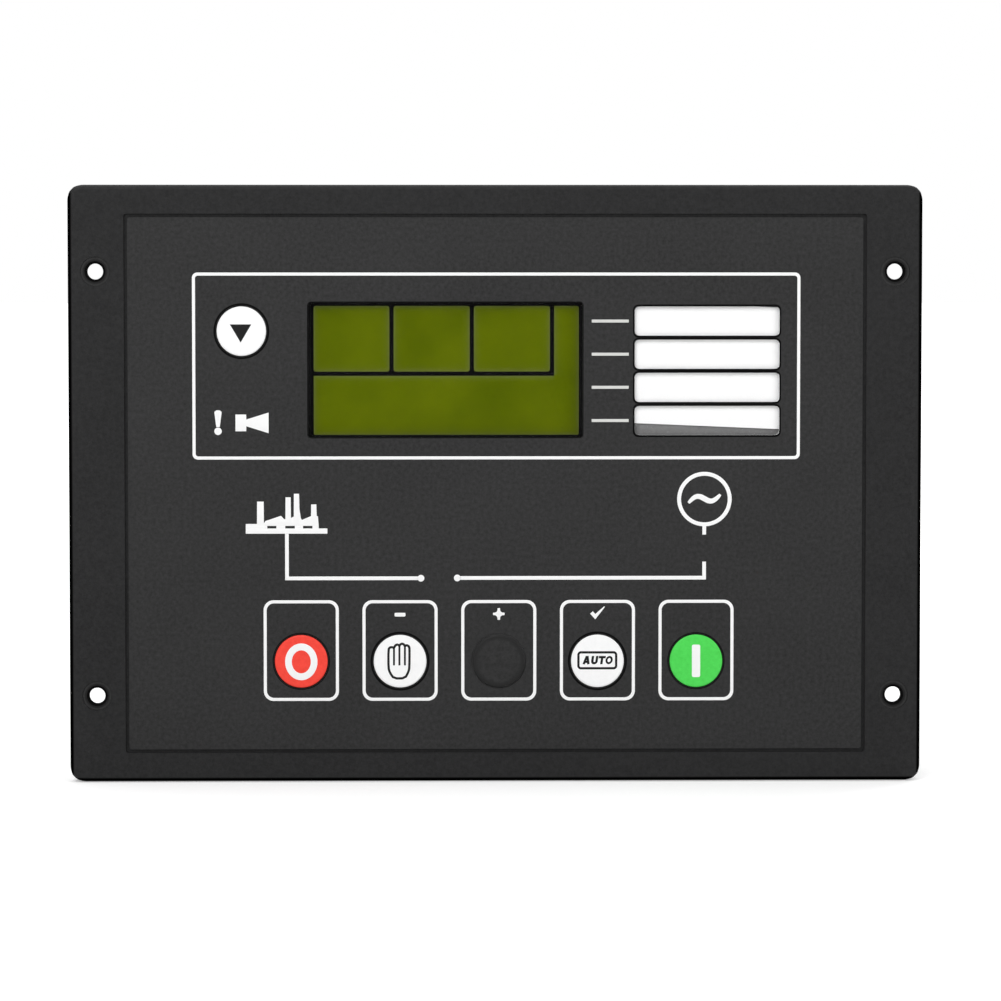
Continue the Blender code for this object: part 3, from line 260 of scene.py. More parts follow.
def divided(edges, most, closed=False):
    """The same edge lines with added points, so that no run is longer than the given length.

    All lines have as many points, and stay in step: each takes its new points at the same
    shares of its runs.
    """
    edges = [np.asarray(edge, float) for edge in edges]
    if closed:
        edges = [np.vstack([edge, edge[:1]]) for edge in edges]
    runs = np.max([np.linalg.norm(np.diff(edge, axis=0), axis=1) for edge in edges], axis=0)
    travelled = np.concatenate([[0], np.cumsum(runs)])
    stations = np.unique(np.concatenate([travelled, np.arange(0, travelled[-1], most)]))
    stations = stations[np.append(np.diff(stations) > most * 0.01, True)]
    divided_edges = [
        np.stack([np.interp(stations, travelled, edge[:, axis]) for axis in (0, 1)], axis=-1)
        for edge in edges
    ]
    return [edge[:-1] for edge in divided_edges] if closed else divided_edges


def chords(centre, half_width, half_height):
    """Lower and upper edge of a filled ellipse, over x = w t and z = +-h sqrt(1 - t^2)."""
    share = -np.cos(np.linspace(0.04, math.pi - 0.04, 20))
    half = half_height * np.sqrt(1 - share**2)
    x = centre[0] + share * half_width
    return (
        np.stack([x, centre[1] - half], axis=-1),
        np.stack([x, centre[1] + half], axis=-1),
    )


def bar(centre, width, height, radius):
    """Left and right edge of a filled upright bar, its corners quarter circles."""
    turn = np.linspace(0, math.pi / 2, 6)
    rise = height / 2 - radius + radius * np.sin(turn)
    half = width / 2 - radius + radius * np.cos(turn)
    z = np.concatenate([-rise[::-1], rise]) + centre[1]
    half = np.concatenate([half[::-1], half])
    return (
        np.stack([centre[0] - half, z], axis=-1),
        np.stack([centre[0] + half, z], axis=-1),
    )


# Surfaces of two parameters, as vertices, quads and end faces


def surface(points, closed=False):
    """Quads over a grid P(u, v) whose rows u run along the piece and columns v round it.

    The last column joins the first. closed joins the last row to the first too, and
    otherwise each end gets one face over its whole section.
    """
    rows, columns = points.shape[:2]
    index = np.arange(rows * columns).reshape(rows, columns)
    u, v = np.arange(rows if closed else rows - 1), np.arange(columns)
    next_u, next_v = (u + 1) % rows, (v + 1) % columns
    corners = [
        index[np.ix_(u, v)],
        index[np.ix_(next_u, v)],
        index[np.ix_(next_u, next_v)],
        index[np.ix_(u, next_v)],
    ]
    quads = np.stack(corners, axis=-1).reshape(-1, 4)
    ends = [] if closed else [index[0, ::-1].tolist(), index[-1].tolist()]
    return points.reshape(-1, 3), quads, ends


def ribbon(left, right, ground, thickness=INK, closed=False, columns=1):
    """A layer of ink between two edge lines on a ground y = f(x, z).

    P(u, v) crosses from the left line to the right one as v goes from 0 to 1. It starts
    sunk in the ground, rises to the layer's thickness over a rounded shoulder, and goes
    down again at the other edge.
    """
    width = np.linalg.norm(right - left, axis=1)[:, None]
    shoulder = np.minimum(INK_SHOULDER / np.maximum(width, 1e-9), 0.3)
    none = np.zeros_like(shoulder)
    across = np.linspace(0, 1, columns + 2)[None, :]
    inner = shoulder + (1 - 2 * shoulder) * across
    share = np.hstack([none, none, inner, 1 + none, 1 + none])
    plan = left[:, None, :] + (right - left)[:, None, :] * share[:, :, None]
    lift = np.concatenate([[0, 0.55], np.ones(columns + 2), [0.55, 0]]) * thickness
    lift[[0, -1]] = -INK_SUNK
    y = ground(plan[..., 0], plan[..., 1]) - lift[None, :]
    grid = np.stack([plan[..., 0], y, plan[..., 1]], axis=-1)
    return surface(grid, closed)


def ring(outer, inner, ground, thickness=INK):
    """A closed ribbon between two outlines with as many points each."""
    return ribbon(outer, inner, ground, thickness, closed=True)


def turned(centre, profile):
    """A profile of (radius, depth) turned about the axis through the centre along Y.

    P(u, v) = centre + (radius(u) cos v, depth(u), radius(u) sin v).
    """
    profile = np.asarray(profile, float)
    angle = np.linspace(0, math.tau, ROUND_STEPS, endpoint=False)
    radius = profile[:, 0:1]
    across, up = radius * np.cos(angle), radius * np.sin(angle)
    depth = np.broadcast_to(profile[:, 1:2], across.shape)
    return surface(np.stack([across, depth, up], axis=-1) + np.array(centre, float))


def tube(path, radius, steps=10):
    """A circle of the given radius carried along a path of points, square to its run."""
    path = np.asarray(path, float)
    run = unit(np.gradient(path, axis=0))
    side = np.cross(run, [0.0, 0.0, 1.0])
    lying = np.linalg.norm(side, axis=1) < 0.05
    side[lying] = np.cross(run[lying], [1.0, 0.0, 0.0])
    side = unit(side)
    over = np.cross(side, run)
    angle = np.linspace(0, math.tau, steps, endpoint=False)[None, :, None]
    grid = path[:, None] + radius * (np.cos(angle) * side[:, None] + np.sin(angle) * over[:, None])
    return surface(grid)


def moved(part, offset):
    """The same surface at another place."""
    return part[0] + np.array(offset, float), part[1], part[2]


# Pieces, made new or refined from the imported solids


def point_places(mesh):
    """The places of a mesh's points, one row each."""
    places = np.zeros(len(mesh.vertices) * 3)
    mesh.vertices.foreach_get("co", places)
    return places.reshape(-1, 3)


def mark_points(mesh, name, values):
    """Give each point of a mesh a value, for a material to read by its name."""
    attribute = mesh.attributes.new(name, "FLOAT", "POINT")
    attribute.data.foreach_set("value", values.astype(np.float32))


def new_piece(name, parts, finishes, body, smooth=30, numbers=None):
    """One object out of several surfaces, closed and facing out, riding on a body.

    finishes is one material or several; numbers gives the finish of each part, or of
    each face of it.
    """
    starts = np.cumsum([0] + [len(part[0]) for part in parts])[:-1]
    vertices = np.concatenate([part[0] for part in parts])
    faces, finish = [], []
    for number, (part, start) in enumerate(zip(parts, starts)):
        faces += (part[1] + start).tolist()
        faces += [[index + int(start) for index in end] for end in part[2]]
        count = len(part[1]) + len(part[2])
        chosen = 0 if numbers is None else numbers[number]
        finish.append(np.broadcast_to(np.asarray(chosen), count))
    mesh = bpy.data.meshes.new(name)
    mesh.from_pydata(vertices.tolist(), [], faces)
    for material in finishes if isinstance(finishes, (list, tuple)) else [finishes]:
        mesh.materials.append(material)
    mesh.polygons.foreach_set("material_index", np.concatenate(finish).astype(np.int32))
    facing = bmesh.new()
    facing.from_mesh(mesh)
    bmesh.ops.remove_doubles(facing, verts=facing.verts[:], dist=1e-7)
    bmesh.ops.recalc_face_normals(facing, faces=facing.faces[:])
    facing.to_mesh(mesh)
    facing.free()
    if smooth:
        mesh.shade_smooth()
        mesh.set_sharp_from_angle(angle=math.radians(smooth))
    made = bpy.data.objects.new(name, mesh)
    bpy.context.scene.collection.objects.link(made)
    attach(made, body)
    return made


def weigh_facets(work):
    """Mark the edges between the facets of a round form, by how far each may be eased.

    They run out of the panel's plane and turn by 4 to 50 degrees. Each gets three tenths
    of the shortest facet beside it, as a share of the widest easing.
    """
    weight = work.edges.layers.float.new("bevel_weight_edge")
    level = {line: abs(line.verts[0].co.y - line.verts[1].co.y) < 1e-6 for line in work.edges}
    for line in work.edges:
        if level[line] or len(line.link_faces) != 2:
            continue
        if not math.radians(4) < line.calc_face_angle() < math.radians(50):
            continue
        beside = [
            other.calc_length() for end in line.verts for other in end.link_edges if level[other]
        ]
        if beside:
            line[weight] = min(0.3 * min(beside) / FACET_EASE, 1.0)


def join_facets(mesh, rounded):
    """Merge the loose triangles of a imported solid, and join those that lie in one plane."""
    work = bmesh.new()
    work.from_mesh(mesh)
    bmesh.ops.remove_doubles(work, verts=work.verts[:], dist=2e-6)
    bmesh.ops.dissolve_degenerate(work, edges=work.edges[:], dist=1e-6)
    bmesh.ops.dissolve_limit(
        work,
        angle_limit=math.radians(0.6),
        verts=work.verts[:],
        edges=work.edges[:],
        use_dissolve_boundaries=False,
    )
    if rounded:
        weigh_facets(work)
    work.to_mesh(mesh)
    work.free()


def paint_zones(mesh, finish, zones):
    """Give a mesh its finish, and each zone's own finish where the zone's test says so."""
    mesh.materials.clear()
    mesh.materials.append(finish)
    faces = len(mesh.polygons)
    centres, normals = np.zeros(faces * 3), np.zeros(faces * 3)
    mesh.polygons.foreach_get("center", centres)
    mesh.polygons.foreach_get("normal", normals)
    number = np.zeros(faces, np.int32)
    for zone_finish, test in zones:
        mesh.materials.append(zone_finish)
        number[test(centres.reshape(-1, 3), normals.reshape(-1, 3))] = len(mesh.materials) - 1
    mesh.polygons.foreach_set("material_index", number)


def ease_edges(made, edge, angle, rounded):
    """Modifiers that split round facets, ease edges sharper than the angle, and even the shade."""
    if rounded:
        facets = made.modifiers.new("facets", "BEVEL")
        facets.width = FACET_EASE
        facets.segments = 2
        facets.limit_method = "WEIGHT"
        facets.use_clamp_overlap = False
    bevel = made.modifiers.new("edges", "BEVEL")
    bevel.width = edge
    bevel.segments = 2
    bevel.limit_method = "ANGLE"
    bevel.angle_limit = math.radians(angle)
    bevel.use_clamp_overlap = True
    normal = made.modifiers.new("normals", "WEIGHTED_NORMAL")
    normal.mode = "FACE_AREA"
    normal.keep_sharp = True


def refined(node, finish, edge, angle=28, rounded=False, zones=()):
    """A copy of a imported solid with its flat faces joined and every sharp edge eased.

    rounded splits the facets of round forms. Each zone is a further finish with the test,
    on face centres and normals, of where it goes.
    """
    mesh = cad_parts[node].data.copy()
    join_facets(mesh, rounded)
    paint_zones(mesh, finish, zones)
    mesh.shade_smooth()
    mesh.set_sharp_from_angle(angle=math.radians(angle))
    made = bpy.data.objects.new(f"{node}_finished", mesh)
    bpy.context.scene.collection.objects.link(made)
    ease_edges(made, edge, angle, rounded)
    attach(made, "controller")
    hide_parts(node)


# Shared effects


def new_group(name, inputs, outputs):
    """An empty node group with value or vector inputs and value outputs."""
    group = bpy.data.node_groups.new(name, "ShaderNodeTree")
    for label, kind, default in inputs:
        socket = group.interface.new_socket(label, in_out="INPUT", socket_type=kind)
        if kind == "NodeSocketFloat":
            socket.default_value = default
    for label in outputs:
        group.interface.new_socket(label, in_out="OUTPUT", socket_type="NodeSocketFloat")
    nodes, links = group.nodes, group.links
    return group, nodes, links, nodes.new("NodeGroupInput"), nodes.new("NodeGroupOutput")


def value_node(nodes, links, operation, first, second=None, third=None, clamp=False):
    """One Math node; each operand is a number or a socket."""
    node = nodes.new("ShaderNodeMath")
    node.operation = operation
    node.use_clamp = clamp
    for place, operand in enumerate((first, second, third)):
        if operand is None:
            continue
        if isinstance(operand, (int, float)):
            node.inputs[place].default_value = operand
        else:
            links.new(operand, node.inputs[place])
    return node.outputs[0]


def mapped(nodes, links, value, given, result=(0.0, 1.0), smooth=False):
    """One Map Range node: from a range of given values to a range of results."""
    node = nodes.new("ShaderNodeMapRange")
    if smooth:
        node.interpolation_type = "SMOOTHSTEP"
    labels = ("From Min", "From Max", "To Min", "To Max")
    for label, level in zip(labels, (*given, *result)):
        node.inputs[label].default_value = level
    links.new(value, node.inputs["Value"])
    return node.outputs["Result"]


def object_place(nodes):
    """The object's own coordinates."""
    return nodes.new("ShaderNodeTexCoord").outputs["Object"]


def object_axes(nodes, links):
    """The object's own coordinates, axis by axis."""
    axes = nodes.new("ShaderNodeSeparateXYZ")
    links.new(object_place(nodes), axes.inputs["Vector"])
    return axes.outputs


def noise_node(nodes, links, vector, scale, detail=3.0, roughness=0.5, stretch=None):
    """One Noise texture; scale is a number or a socket, stretch multiplies the axes first."""
    if stretch:
        mapping = nodes.new("ShaderNodeMapping")
        mapping.inputs["Scale"].default_value = stretch
        links.new(vector, mapping.inputs["Vector"])
        vector = mapping.outputs["Vector"]
    node = nodes.new("ShaderNodeTexNoise")
    node.inputs["Detail"].default_value = detail
    node.inputs["Roughness"].default_value = roughness
    if isinstance(scale, (int, float)):
        node.inputs["Scale"].default_value = scale
    else:
        links.new(scale, node.inputs["Scale"])
    links.new(vector, node.inputs["Vector"])
    return node.outputs["Fac"]


TEXTURE_INPUTS = [("Vector", "NodeSocketVector", None), ("Scale", "NodeSocketFloat", 1000.0)]
TEXTURE_OUTPUTS = ["Shade", "Height"]


def moulded_grain():
    """Spark-eroded mould texture: small rounded pits, with slow cloudy shading over them."""
    group, nodes, links, given, result = new_group("moulded_grain", TEXTURE_INPUTS, TEXTURE_OUTPUTS)
    vector, scale = given.outputs["Vector"], given.outputs["Scale"]
    fine = noise_node(nodes, links, vector, scale, detail=2.0, roughness=0.6)
    pits = nodes.new("ShaderNodeTexVoronoi")
    pits.feature = "SMOOTH_F1"
    links.new(vector, pits.inputs["Vector"])
    links.new(scale, pits.inputs["Scale"])
    slow = noise_node(nodes, links, vector, 42.0, detail=3.0)
    middle = noise_node(nodes, links, vector, 950.0, detail=3.0, roughness=0.7)
    height = value_node(nodes, links, "MULTIPLY_ADD", pits.outputs["Distance"], 0.6, fine)
    shade = value_node(nodes, links, "MULTIPLY_ADD", slow, 0.3, value_node(
        nodes, links, "MULTIPLY_ADD", middle, 1.2, value_node(
            nodes, links, "MULTIPLY_ADD", fine, 0.3, -0.4)))
    links.new(shade, result.inputs["Shade"])
    links.new(height, result.inputs["Height"])
    return group


def film_texture():
    """Velvet polyester film: very fine even grain with faint rubbed areas."""
    group, nodes, links, given, result = new_group("film_texture", TEXTURE_INPUTS, TEXTURE_OUTPUTS)
    vector, scale = given.outputs["Vector"], given.outputs["Scale"]
    fine = noise_node(nodes, links, vector, scale, detail=1.0, roughness=0.4)
    speck = noise_node(nodes, links, vector, 900.0, detail=2.0, roughness=0.7)
    slow = noise_node(nodes, links, vector, 26.0, detail=4.0, roughness=0.55)
    shade = value_node(nodes, links, "MULTIPLY_ADD", slow, 0.4, value_node(
        nodes, links, "MULTIPLY_ADD", speck, 1.2, value_node(
            nodes, links, "MULTIPLY_ADD", fine, 0.2, -0.4)))
    links.new(shade, result.inputs["Shade"])
    links.new(fine, result.inputs["Height"])
    return group


def ink_coat():
    """Screen-printed ink: the mark of the mesh it was pressed through, and uneven cover."""
    group, nodes, links, given, result = new_group("ink_coat", TEXTURE_INPUTS, TEXTURE_OUTPUTS)
    vector, scale = given.outputs["Vector"], given.outputs["Scale"]
    threads = []
    for direction in ("X", "Z"):
        wave = nodes.new("ShaderNodeTexWave")
        wave.wave_type = "BANDS"
        wave.bands_direction = direction
        links.new(vector, wave.inputs["Vector"])
        links.new(scale, wave.inputs["Scale"])
        threads.append(wave.outputs["Fac"])
    weave = value_node(nodes, links, "MULTIPLY", threads[0], threads[1])
    cover = noise_node(nodes, links, vector, 260.0, detail=3.0, roughness=0.6)
    shade = value_node(nodes, links, "MULTIPLY_ADD", cover, 0.75, value_node(
        nodes, links, "MULTIPLY", weave, 0.25))
    links.new(shade, result.inputs["Shade"])
    links.new(weave, result.inputs["Height"])
    return group


def drawn_metal():
    """Plated or drawn metal: long fine scratches along X with soft blotches of plating."""
    group, nodes, links, given, result = new_group("drawn_metal", TEXTURE_INPUTS, TEXTURE_OUTPUTS)
    vector, scale = given.outputs["Vector"], given.outputs["Scale"]
    lines = noise_node(nodes, links, vector, scale, detail=3.0, stretch=(0.06, 1.0, 1.0))
    blotch = noise_node(nodes, links, vector, 350.0, detail=4.0, roughness=0.65)
    shade = value_node(nodes, links, "MULTIPLY_ADD", lines, 0.5, value_node(
        nodes, links, "MULTIPLY", blotch, 0.5))
    links.new(shade, result.inputs["Shade"])
    links.new(lines, result.inputs["Height"])
    return group


def paper_fibre():
    """Uncoated card: crossed short fibres."""
    group, nodes, links, given, result = new_group("paper_fibre", TEXTURE_INPUTS, TEXTURE_OUTPUTS)
    vector, scale = given.outputs["Vector"], given.outputs["Scale"]
    along = noise_node(nodes, links, vector, scale, detail=3.0, stretch=(0.25, 1.0, 1.0))
    across = noise_node(nodes, links, vector, scale, detail=3.0, stretch=(1.0, 1.0, 0.3))
    both = value_node(nodes, links, "MULTIPLY", value_node(nodes, links, "ADD", along, across), 0.5)
    links.new(both, result.inputs["Shade"])
    links.new(both, result.inputs["Height"])
    return group


def board_layout():
    """Circuit board: raised copper tracks in a square layout under the resist, with pads."""
    group, nodes, links, given, result = new_group("board_layout", TEXTURE_INPUTS, TEXTURE_OUTPUTS)
    vector, scale = given.outputs["Vector"], given.outputs["Scale"]
    flat = nodes.new("ShaderNodeMapping")
    flat.inputs["Rotation"].default_value = (math.pi / 2, 0.0, 0.0)
    links.new(vector, flat.inputs["Vector"])
    tracks = nodes.new("ShaderNodeTexBrick")
    tracks.offset = 0.35
    tracks.inputs["Color1"].default_value = (0.0, 0.0, 0.0, 1.0)
    tracks.inputs["Color2"].default_value = (0.25, 0.25, 0.25, 1.0)
    tracks.inputs["Mortar"].default_value = (1.0, 1.0, 1.0, 1.0)
    tracks.inputs["Mortar Size"].default_value = 0.05
    tracks.inputs["Mortar Smooth"].default_value = 0.2
    tracks.inputs["Brick Width"].default_value = 1.7
    tracks.inputs["Row Height"].default_value = 0.4
    links.new(flat.outputs["Vector"], tracks.inputs["Vector"])
    links.new(scale, tracks.inputs["Scale"])
    pads = nodes.new("ShaderNodeTexVoronoi")
    pads.inputs["Randomness"].default_value = 0.35
    links.new(vector, pads.inputs["Vector"])
    links.new(scale, pads.inputs["Scale"])
    holes = value_node(nodes, links, "LESS_THAN", pads.outputs["Distance"], 0.16)
    grain = noise_node(nodes, links, vector, 700.0, detail=2.0)
    copper = nodes.new("ShaderNodeRGBToBW")
    links.new(tracks.outputs["Color"], copper.inputs["Color"])
    height = value_node(nodes, links, "MAXIMUM", copper.outputs["Val"], holes)
    shade = value_node(nodes, links, "MULTIPLY_ADD", height, 0.75, value_node(
        nodes, links, "MULTIPLY", grain, 0.25))
    links.new(shade, result.inputs["Shade"])
    links.new(height, result.inputs["Height"])
    return group


MOULDED, FILM, INKED = moulded_grain(), film_texture(), ink_coat()
METAL, PAPER, BOARD = drawn_metal(), paper_fibre(), board_layout()


# Materials


def finish(name, texture, scale, dark, light, rough, bump, **plain):
    """A Principled material whose colour and roughness follow a texture's shade.

    dark and light are the colours at shade 0 and 1, rough the two roughnesses, and bump
    the strength and depth of its relief. What is the same all over is set on the shader.
    """
    material = bpy.data.materials.new(name)
    material.use_nodes = True
    nodes, links = material.node_tree.nodes, material.node_tree.links
    shader = nodes["Principled BSDF"]
    pattern = nodes.new("ShaderNodeGroup")
    pattern.node_tree = texture
    pattern.inputs["Scale"].default_value = scale
    links.new(object_place(nodes), pattern.inputs["Vector"])
    colour = nodes.new("ShaderNodeMix")
    colour.data_type = "RGBA"
    colour.inputs["A"].default_value = (*dark, 1.0)
    colour.inputs["B"].default_value = (*light, 1.0)
    links.new(pattern.outputs["Shade"], colour.inputs["Factor"])
    links.new(colour.outputs["Result"], shader.inputs["Base Color"])
    gloss = mapped(nodes, links, pattern.outputs["Shade"], (0.0, 1.0), rough)
    links.new(gloss, shader.inputs["Roughness"])
    relief = nodes.new("ShaderNodeBump")
    relief.inputs["Strength"].default_value, relief.inputs["Distance"].default_value = bump
    links.new(pattern.outputs["Height"], relief.inputs["Height"])
    links.new(relief.outputs["Normal"], shader.inputs["Normal"])
    for socket, value in plain.items():
        shader.inputs[socket.replace("_", " ")].default_value = value
    return material


def grey(level):
    """The same level in all three channels."""
    return (level, level, level)


def laid_over(material, share, colour, blend="MIX"):
    """Mix a colour, given as three levels or a socket, into the base colour by a share."""
    nodes, links = material.node_tree.nodes, material.node_tree.links
    base = nodes["Principled BSDF"].inputs["Base Color"]
    mixed = nodes.new("ShaderNodeMix")
    mixed.data_type = "RGBA"
    mixed.blend_type = blend
    if isinstance(share, float):
        mixed.inputs["Factor"].default_value = share
    else:
        links.new(share, mixed.inputs["Factor"])
    if isinstance(colour, tuple):
        mixed.inputs["B"].default_value = (*colour, 1.0)
    else:
        links.new(colour, mixed.inputs["B"])
    links.new(base.links[0].from_socket, mixed.inputs["A"])
    links.new(mixed.outputs["Result"], base)
    return material


def painted_edge_shade(material, half_width, half_height, start, end):
    """Paint shade on the flange's rounded edge: its colour goes to black towards the left, right and
    lower edge.

    start and end are distances from the edge, full colour and black.
    """
    nodes, links = material.node_tree.nodes, material.node_tree.links
    axes = object_axes(nodes, links)
    side = value_node(nodes, links, "ABSOLUTE", axes["X"])
    side = value_node(nodes, links, "SUBTRACT", side, half_width)
    below = value_node(nodes, links, "MULTIPLY_ADD", axes["Z"], -1.0, -half_height)
    nearest = value_node(nodes, links, "MAXIMUM", side, below)
    fade = mapped(nodes, links, nearest, (-start, -end), smooth=True)
    return laid_over(material, fade, grey(0.0008))


def painted_shoulder_tone(material, start, end, share, level):
    """Paint shade or light on a key cap towards its edge, by how far out its points say that they
    lie.

    The colour goes to the level by the given share, between reach start and reach end.
    """
    nodes, links = material.node_tree.nodes, material.node_tree.links
    reach = nodes.new("ShaderNodeAttribute")
    reach.attribute_name = "reach"
    fade = mapped(nodes, links, reach.outputs["Fac"], (start, end), (0.0, share), smooth=True)
    return laid_over(material, fade, grey(level))


def painted_seat_rings(material, shades):
    """Paint rings of shade on the seat of each screw hole, by the distance from the hole's axis.

    shades gives pairs of a radius and a share of the colour.
    """
    nodes, links = material.node_tree.nodes, material.node_tree.links
    axes = object_axes(nodes, links)
    away = nodes.new("ShaderNodeCombineXYZ")
    for axis, reach in zip("XZ", HOLES_AT):
        side = value_node(nodes, links, "ABSOLUTE", axes[axis])
        links.new(value_node(nodes, links, "SUBTRACT", side, reach), away.inputs[axis])
    radius = nodes.new("ShaderNodeVectorMath")
    radius.operation = "LENGTH"
    links.new(away.outputs["Vector"], radius.inputs[0])
    share = mapped(nodes, links, radius.outputs["Value"], (0.0, HOLE_REACH))
    ramp = nodes.new("ShaderNodeValToRGB")
    while len(ramp.color_ramp.elements) < len(shades):
        ramp.color_ramp.elements.new(0.5)
    for stop, (at, level) in zip(ramp.color_ramp.elements, shades):
        stop.position = at / HOLE_REACH
        stop.color = (*grey(level), 1.0)
    links.new(share, ramp.inputs["Fac"])
    return laid_over(material, 1.0, ramp.outputs["Color"], "MULTIPLY")


FASCIA_BLACK = finish(
    "fascia_moulding", MOULDED, 2600.0, (0.004, 0.004, 0.0042), (0.0218, 0.0218, 0.0223),
    (0.6, 0.48), (0.35, 0.00006), Specular_IOR_Level=0.15,
)
# Painted shade: the rounded edge of the flange goes to black at its sides and below
FASCIA_EDGE_SHADED = painted_edge_shade(
    finish(
        "fascia_edge_painted_shade", MOULDED, 2600.0, grey(0.022), grey(0.032), (0.7, 0.6), (0.35, 0.00006),
        Specular_IOR_Level=0.0,
    ),
    cad_box[1][0], cad_box[1][2], EDGE_SHADE, EDGE_BLACK,
)
# Painted shade: the chamfers and bores of the screw holes in near black
HOLE_PAINTED_SHADE = finish(
    "screw_hole_painted_shade", MOULDED, 2600.0, grey(0.004), grey(0.007), (0.7, 0.6), (0.2, 0.00004),
    Specular_IOR_Level=0.0,
)
# Painted shade: darker rings on each seat, next to the chamfer and at its outer edge
HOLE_SEAT_SHADED = painted_seat_rings(
    finish(
        "screw_hole_seat_painted_shade", MOULDED, 2600.0, grey(0.012), grey(0.034), (0.6, 0.48), (0.35, 0.00006),
        Specular_IOR_Level=0.15,
    ),
    [(3.0 * MM, 0.12), (3.3 * MM, 0.2), (3.65 * MM, 1.0), (3.95 * MM, 1.0), (4.15 * MM, 0.35)],
)
HOUSING_BLACK = finish(
    "housing_moulding", MOULDED, 1700.0, (0.008, 0.008, 0.0085), (0.026, 0.026, 0.027),
    (0.6, 0.48), (0.4, 0.0001), Specular_IOR_Level=0.25,
)
VELVET_DARK, VELVET_PALE = grey(0.0035), (0.0282, 0.0282, 0.0287)
OVERLAY_BLACK = finish(
    "overlay_film_velvet", FILM, 5200.0, VELVET_DARK, VELVET_PALE, (0.55, 0.45), (0.2, 0.00003),
    Specular_IOR_Level=0.2,
)
# Painted glow: the film's edges in the legend windows are white and give off light, lifting the shade
# at the windows' rims
FILM_EDGE_GLOW = finish(
    "overlay_film_edge_painted_glow", FILM, 2400.0, grey(0.92), grey(0.97), (0.5, 0.4), (0.05, 0.00001),
    Specular_IOR_Level=0.2, Emission_Color=(1.0, 1.0, 1.0, 1.0), Emission_Strength=0.5,
)
WINDOW_BLACK = finish(
    "overlay_keyline_black", INKED, 9000.0, grey(0.001), grey(0.003), (0.55, 0.45),
    (0.1, 0.00001), Specular_IOR_Level=0.03,
)
INK_WHITE = finish(
    "ink_white", INKED, 9000.0, grey(0.86), grey(0.93), (0.55, 0.45), (0.15, 0.00001),
    Specular_IOR_Level=0.3,
)
INK_GREY = finish(
    "ink_light_grey", INKED, 9000.0, (0.60, 0.60, 0.58), (0.68, 0.68, 0.66), (0.55, 0.45),
    (0.15, 0.00001), Specular_IOR_Level=0.3,
)
INK_BLACK = finish(
    "ink_black", INKED, 9000.0, grey(0.004), grey(0.014), (0.55, 0.45), (0.15, 0.00001),
    Specular_IOR_Level=0.12,
)
KEY_WHITE = finish(
    "key_cap_white", FILM, 5200.0, grey(0.88), grey(0.95), (0.5, 0.4), (0.15, 0.00003),
    Specular_IOR_Level=0.35,
)
KEY_RED = finish(
    "key_cap_red", FILM, 5200.0, (0.78, 0.035, 0.018), (0.94, 0.062, 0.038), (0.5, 0.4),
    (0.15, 0.00003), Specular_IOR_Level=0.35,
)
KEY_GREEN = finish(
    "key_cap_green", FILM, 5200.0, (0.045, 0.56, 0.055), (0.075, 0.70, 0.095), (0.5, 0.4),
    (0.15, 0.00003), Specular_IOR_Level=0.35,
)
KEY_BLACK = finish(
    "key_cap_black_painted_shoulder", FILM, 5200.0, VELVET_DARK, VELVET_PALE, (0.55, 0.45), (0.2, 0.00003),
    Specular_IOR_Level=0.2,
)
# Painted shade darkens the black key's shoulder, and a painted highlight lightens its edge down in
# the opening
painted_shoulder_tone(KEY_BLACK, 0.74, 0.9, 0.95, 0.005)
painted_shoulder_tone(KEY_BLACK, 0.97, 1.02, 1.0, 0.08)
KEY_SIDE = finish(
    "key_actuator_rubber", MOULDED, 3000.0, grey(0.006), grey(0.014), (0.7, 0.6), (0.2, 0.00003),
    Specular_IOR_Level=0.1,
)
CLEAR = finish(
    "clear_polycarbonate", FILM, 800.0, grey(0.02), grey(0.03), (0.16, 0.10), (0.03, 0.00002),
    Alpha=0.015, Specular_IOR_Level=0.4,
)
CARD_WHITE = finish(
    "card_uncoated", PAPER, 2400.0, grey(0.955), grey(0.985), (0.85, 0.75), (0.2, 0.00003),
)
SHEET_GREY = finish(
    "pocket_sheet_grey", FILM, 2000.0, grey(0.14), grey(0.20), (0.6, 0.5), (0.1, 0.00003),
)
BLACK_METAL = finish(
    "bezel_black_steel", METAL, 3000.0, grey(0.002), grey(0.006), (0.6, 0.5), (0.1, 0.00002),
    Specular_IOR_Level=0.05,
)
LIGHT_WHITE = finish(
    "light_box_white", MOULDED, 2000.0, (0.70, 0.71, 0.66), (0.80, 0.81, 0.76), (0.5, 0.4),
    (0.1, 0.00004),
)
BOARD_GREEN = finish(
    "board_resist_green", BOARD, 420.0, (0.006, 0.085, 0.028), (0.03, 0.24, 0.085), (0.38, 0.25),
    (0.5, 0.00004),
)
BRASS = finish(
    "pillar_nickel", METAL, 4000.0, (0.48, 0.43, 0.30), (0.66, 0.60, 0.44), (0.35, 0.22),
    (0.15, 0.00002), Metallic=1.0,
)
STEEL = finish(
    "screw_zinc", METAL, 4200.0, (0.46, 0.46, 0.45), (0.68, 0.68, 0.66), (0.4, 0.24),
    (0.2, 0.00002), Metallic=1.0,
)
GOLD = finish(
    "contact_gold", METAL, 5000.0, (0.75, 0.52, 0.16), (0.90, 0.66, 0.26), (0.3, 0.18),
    (0.1, 0.00001), Metallic=1.0,
)
CHIP_BLACK = finish(
    "component_black", MOULDED, 3200.0, grey(0.012), grey(0.028), (0.6, 0.48), (0.25, 0.00005),
)
RELAY_BLUE = finish(
    "relay_case_blue", MOULDED, 2400.0, (0.012, 0.055, 0.24), (0.025, 0.09, 0.34), (0.45, 0.32),
    (0.2, 0.00004),
)
SLEEVE_BLACK = finish(
    "capacitor_sleeve_black", FILM, 1500.0, (0.012, 0.013, 0.022), (0.025, 0.027, 0.04),
    (0.32, 0.22), (0.15, 0.00004),
)
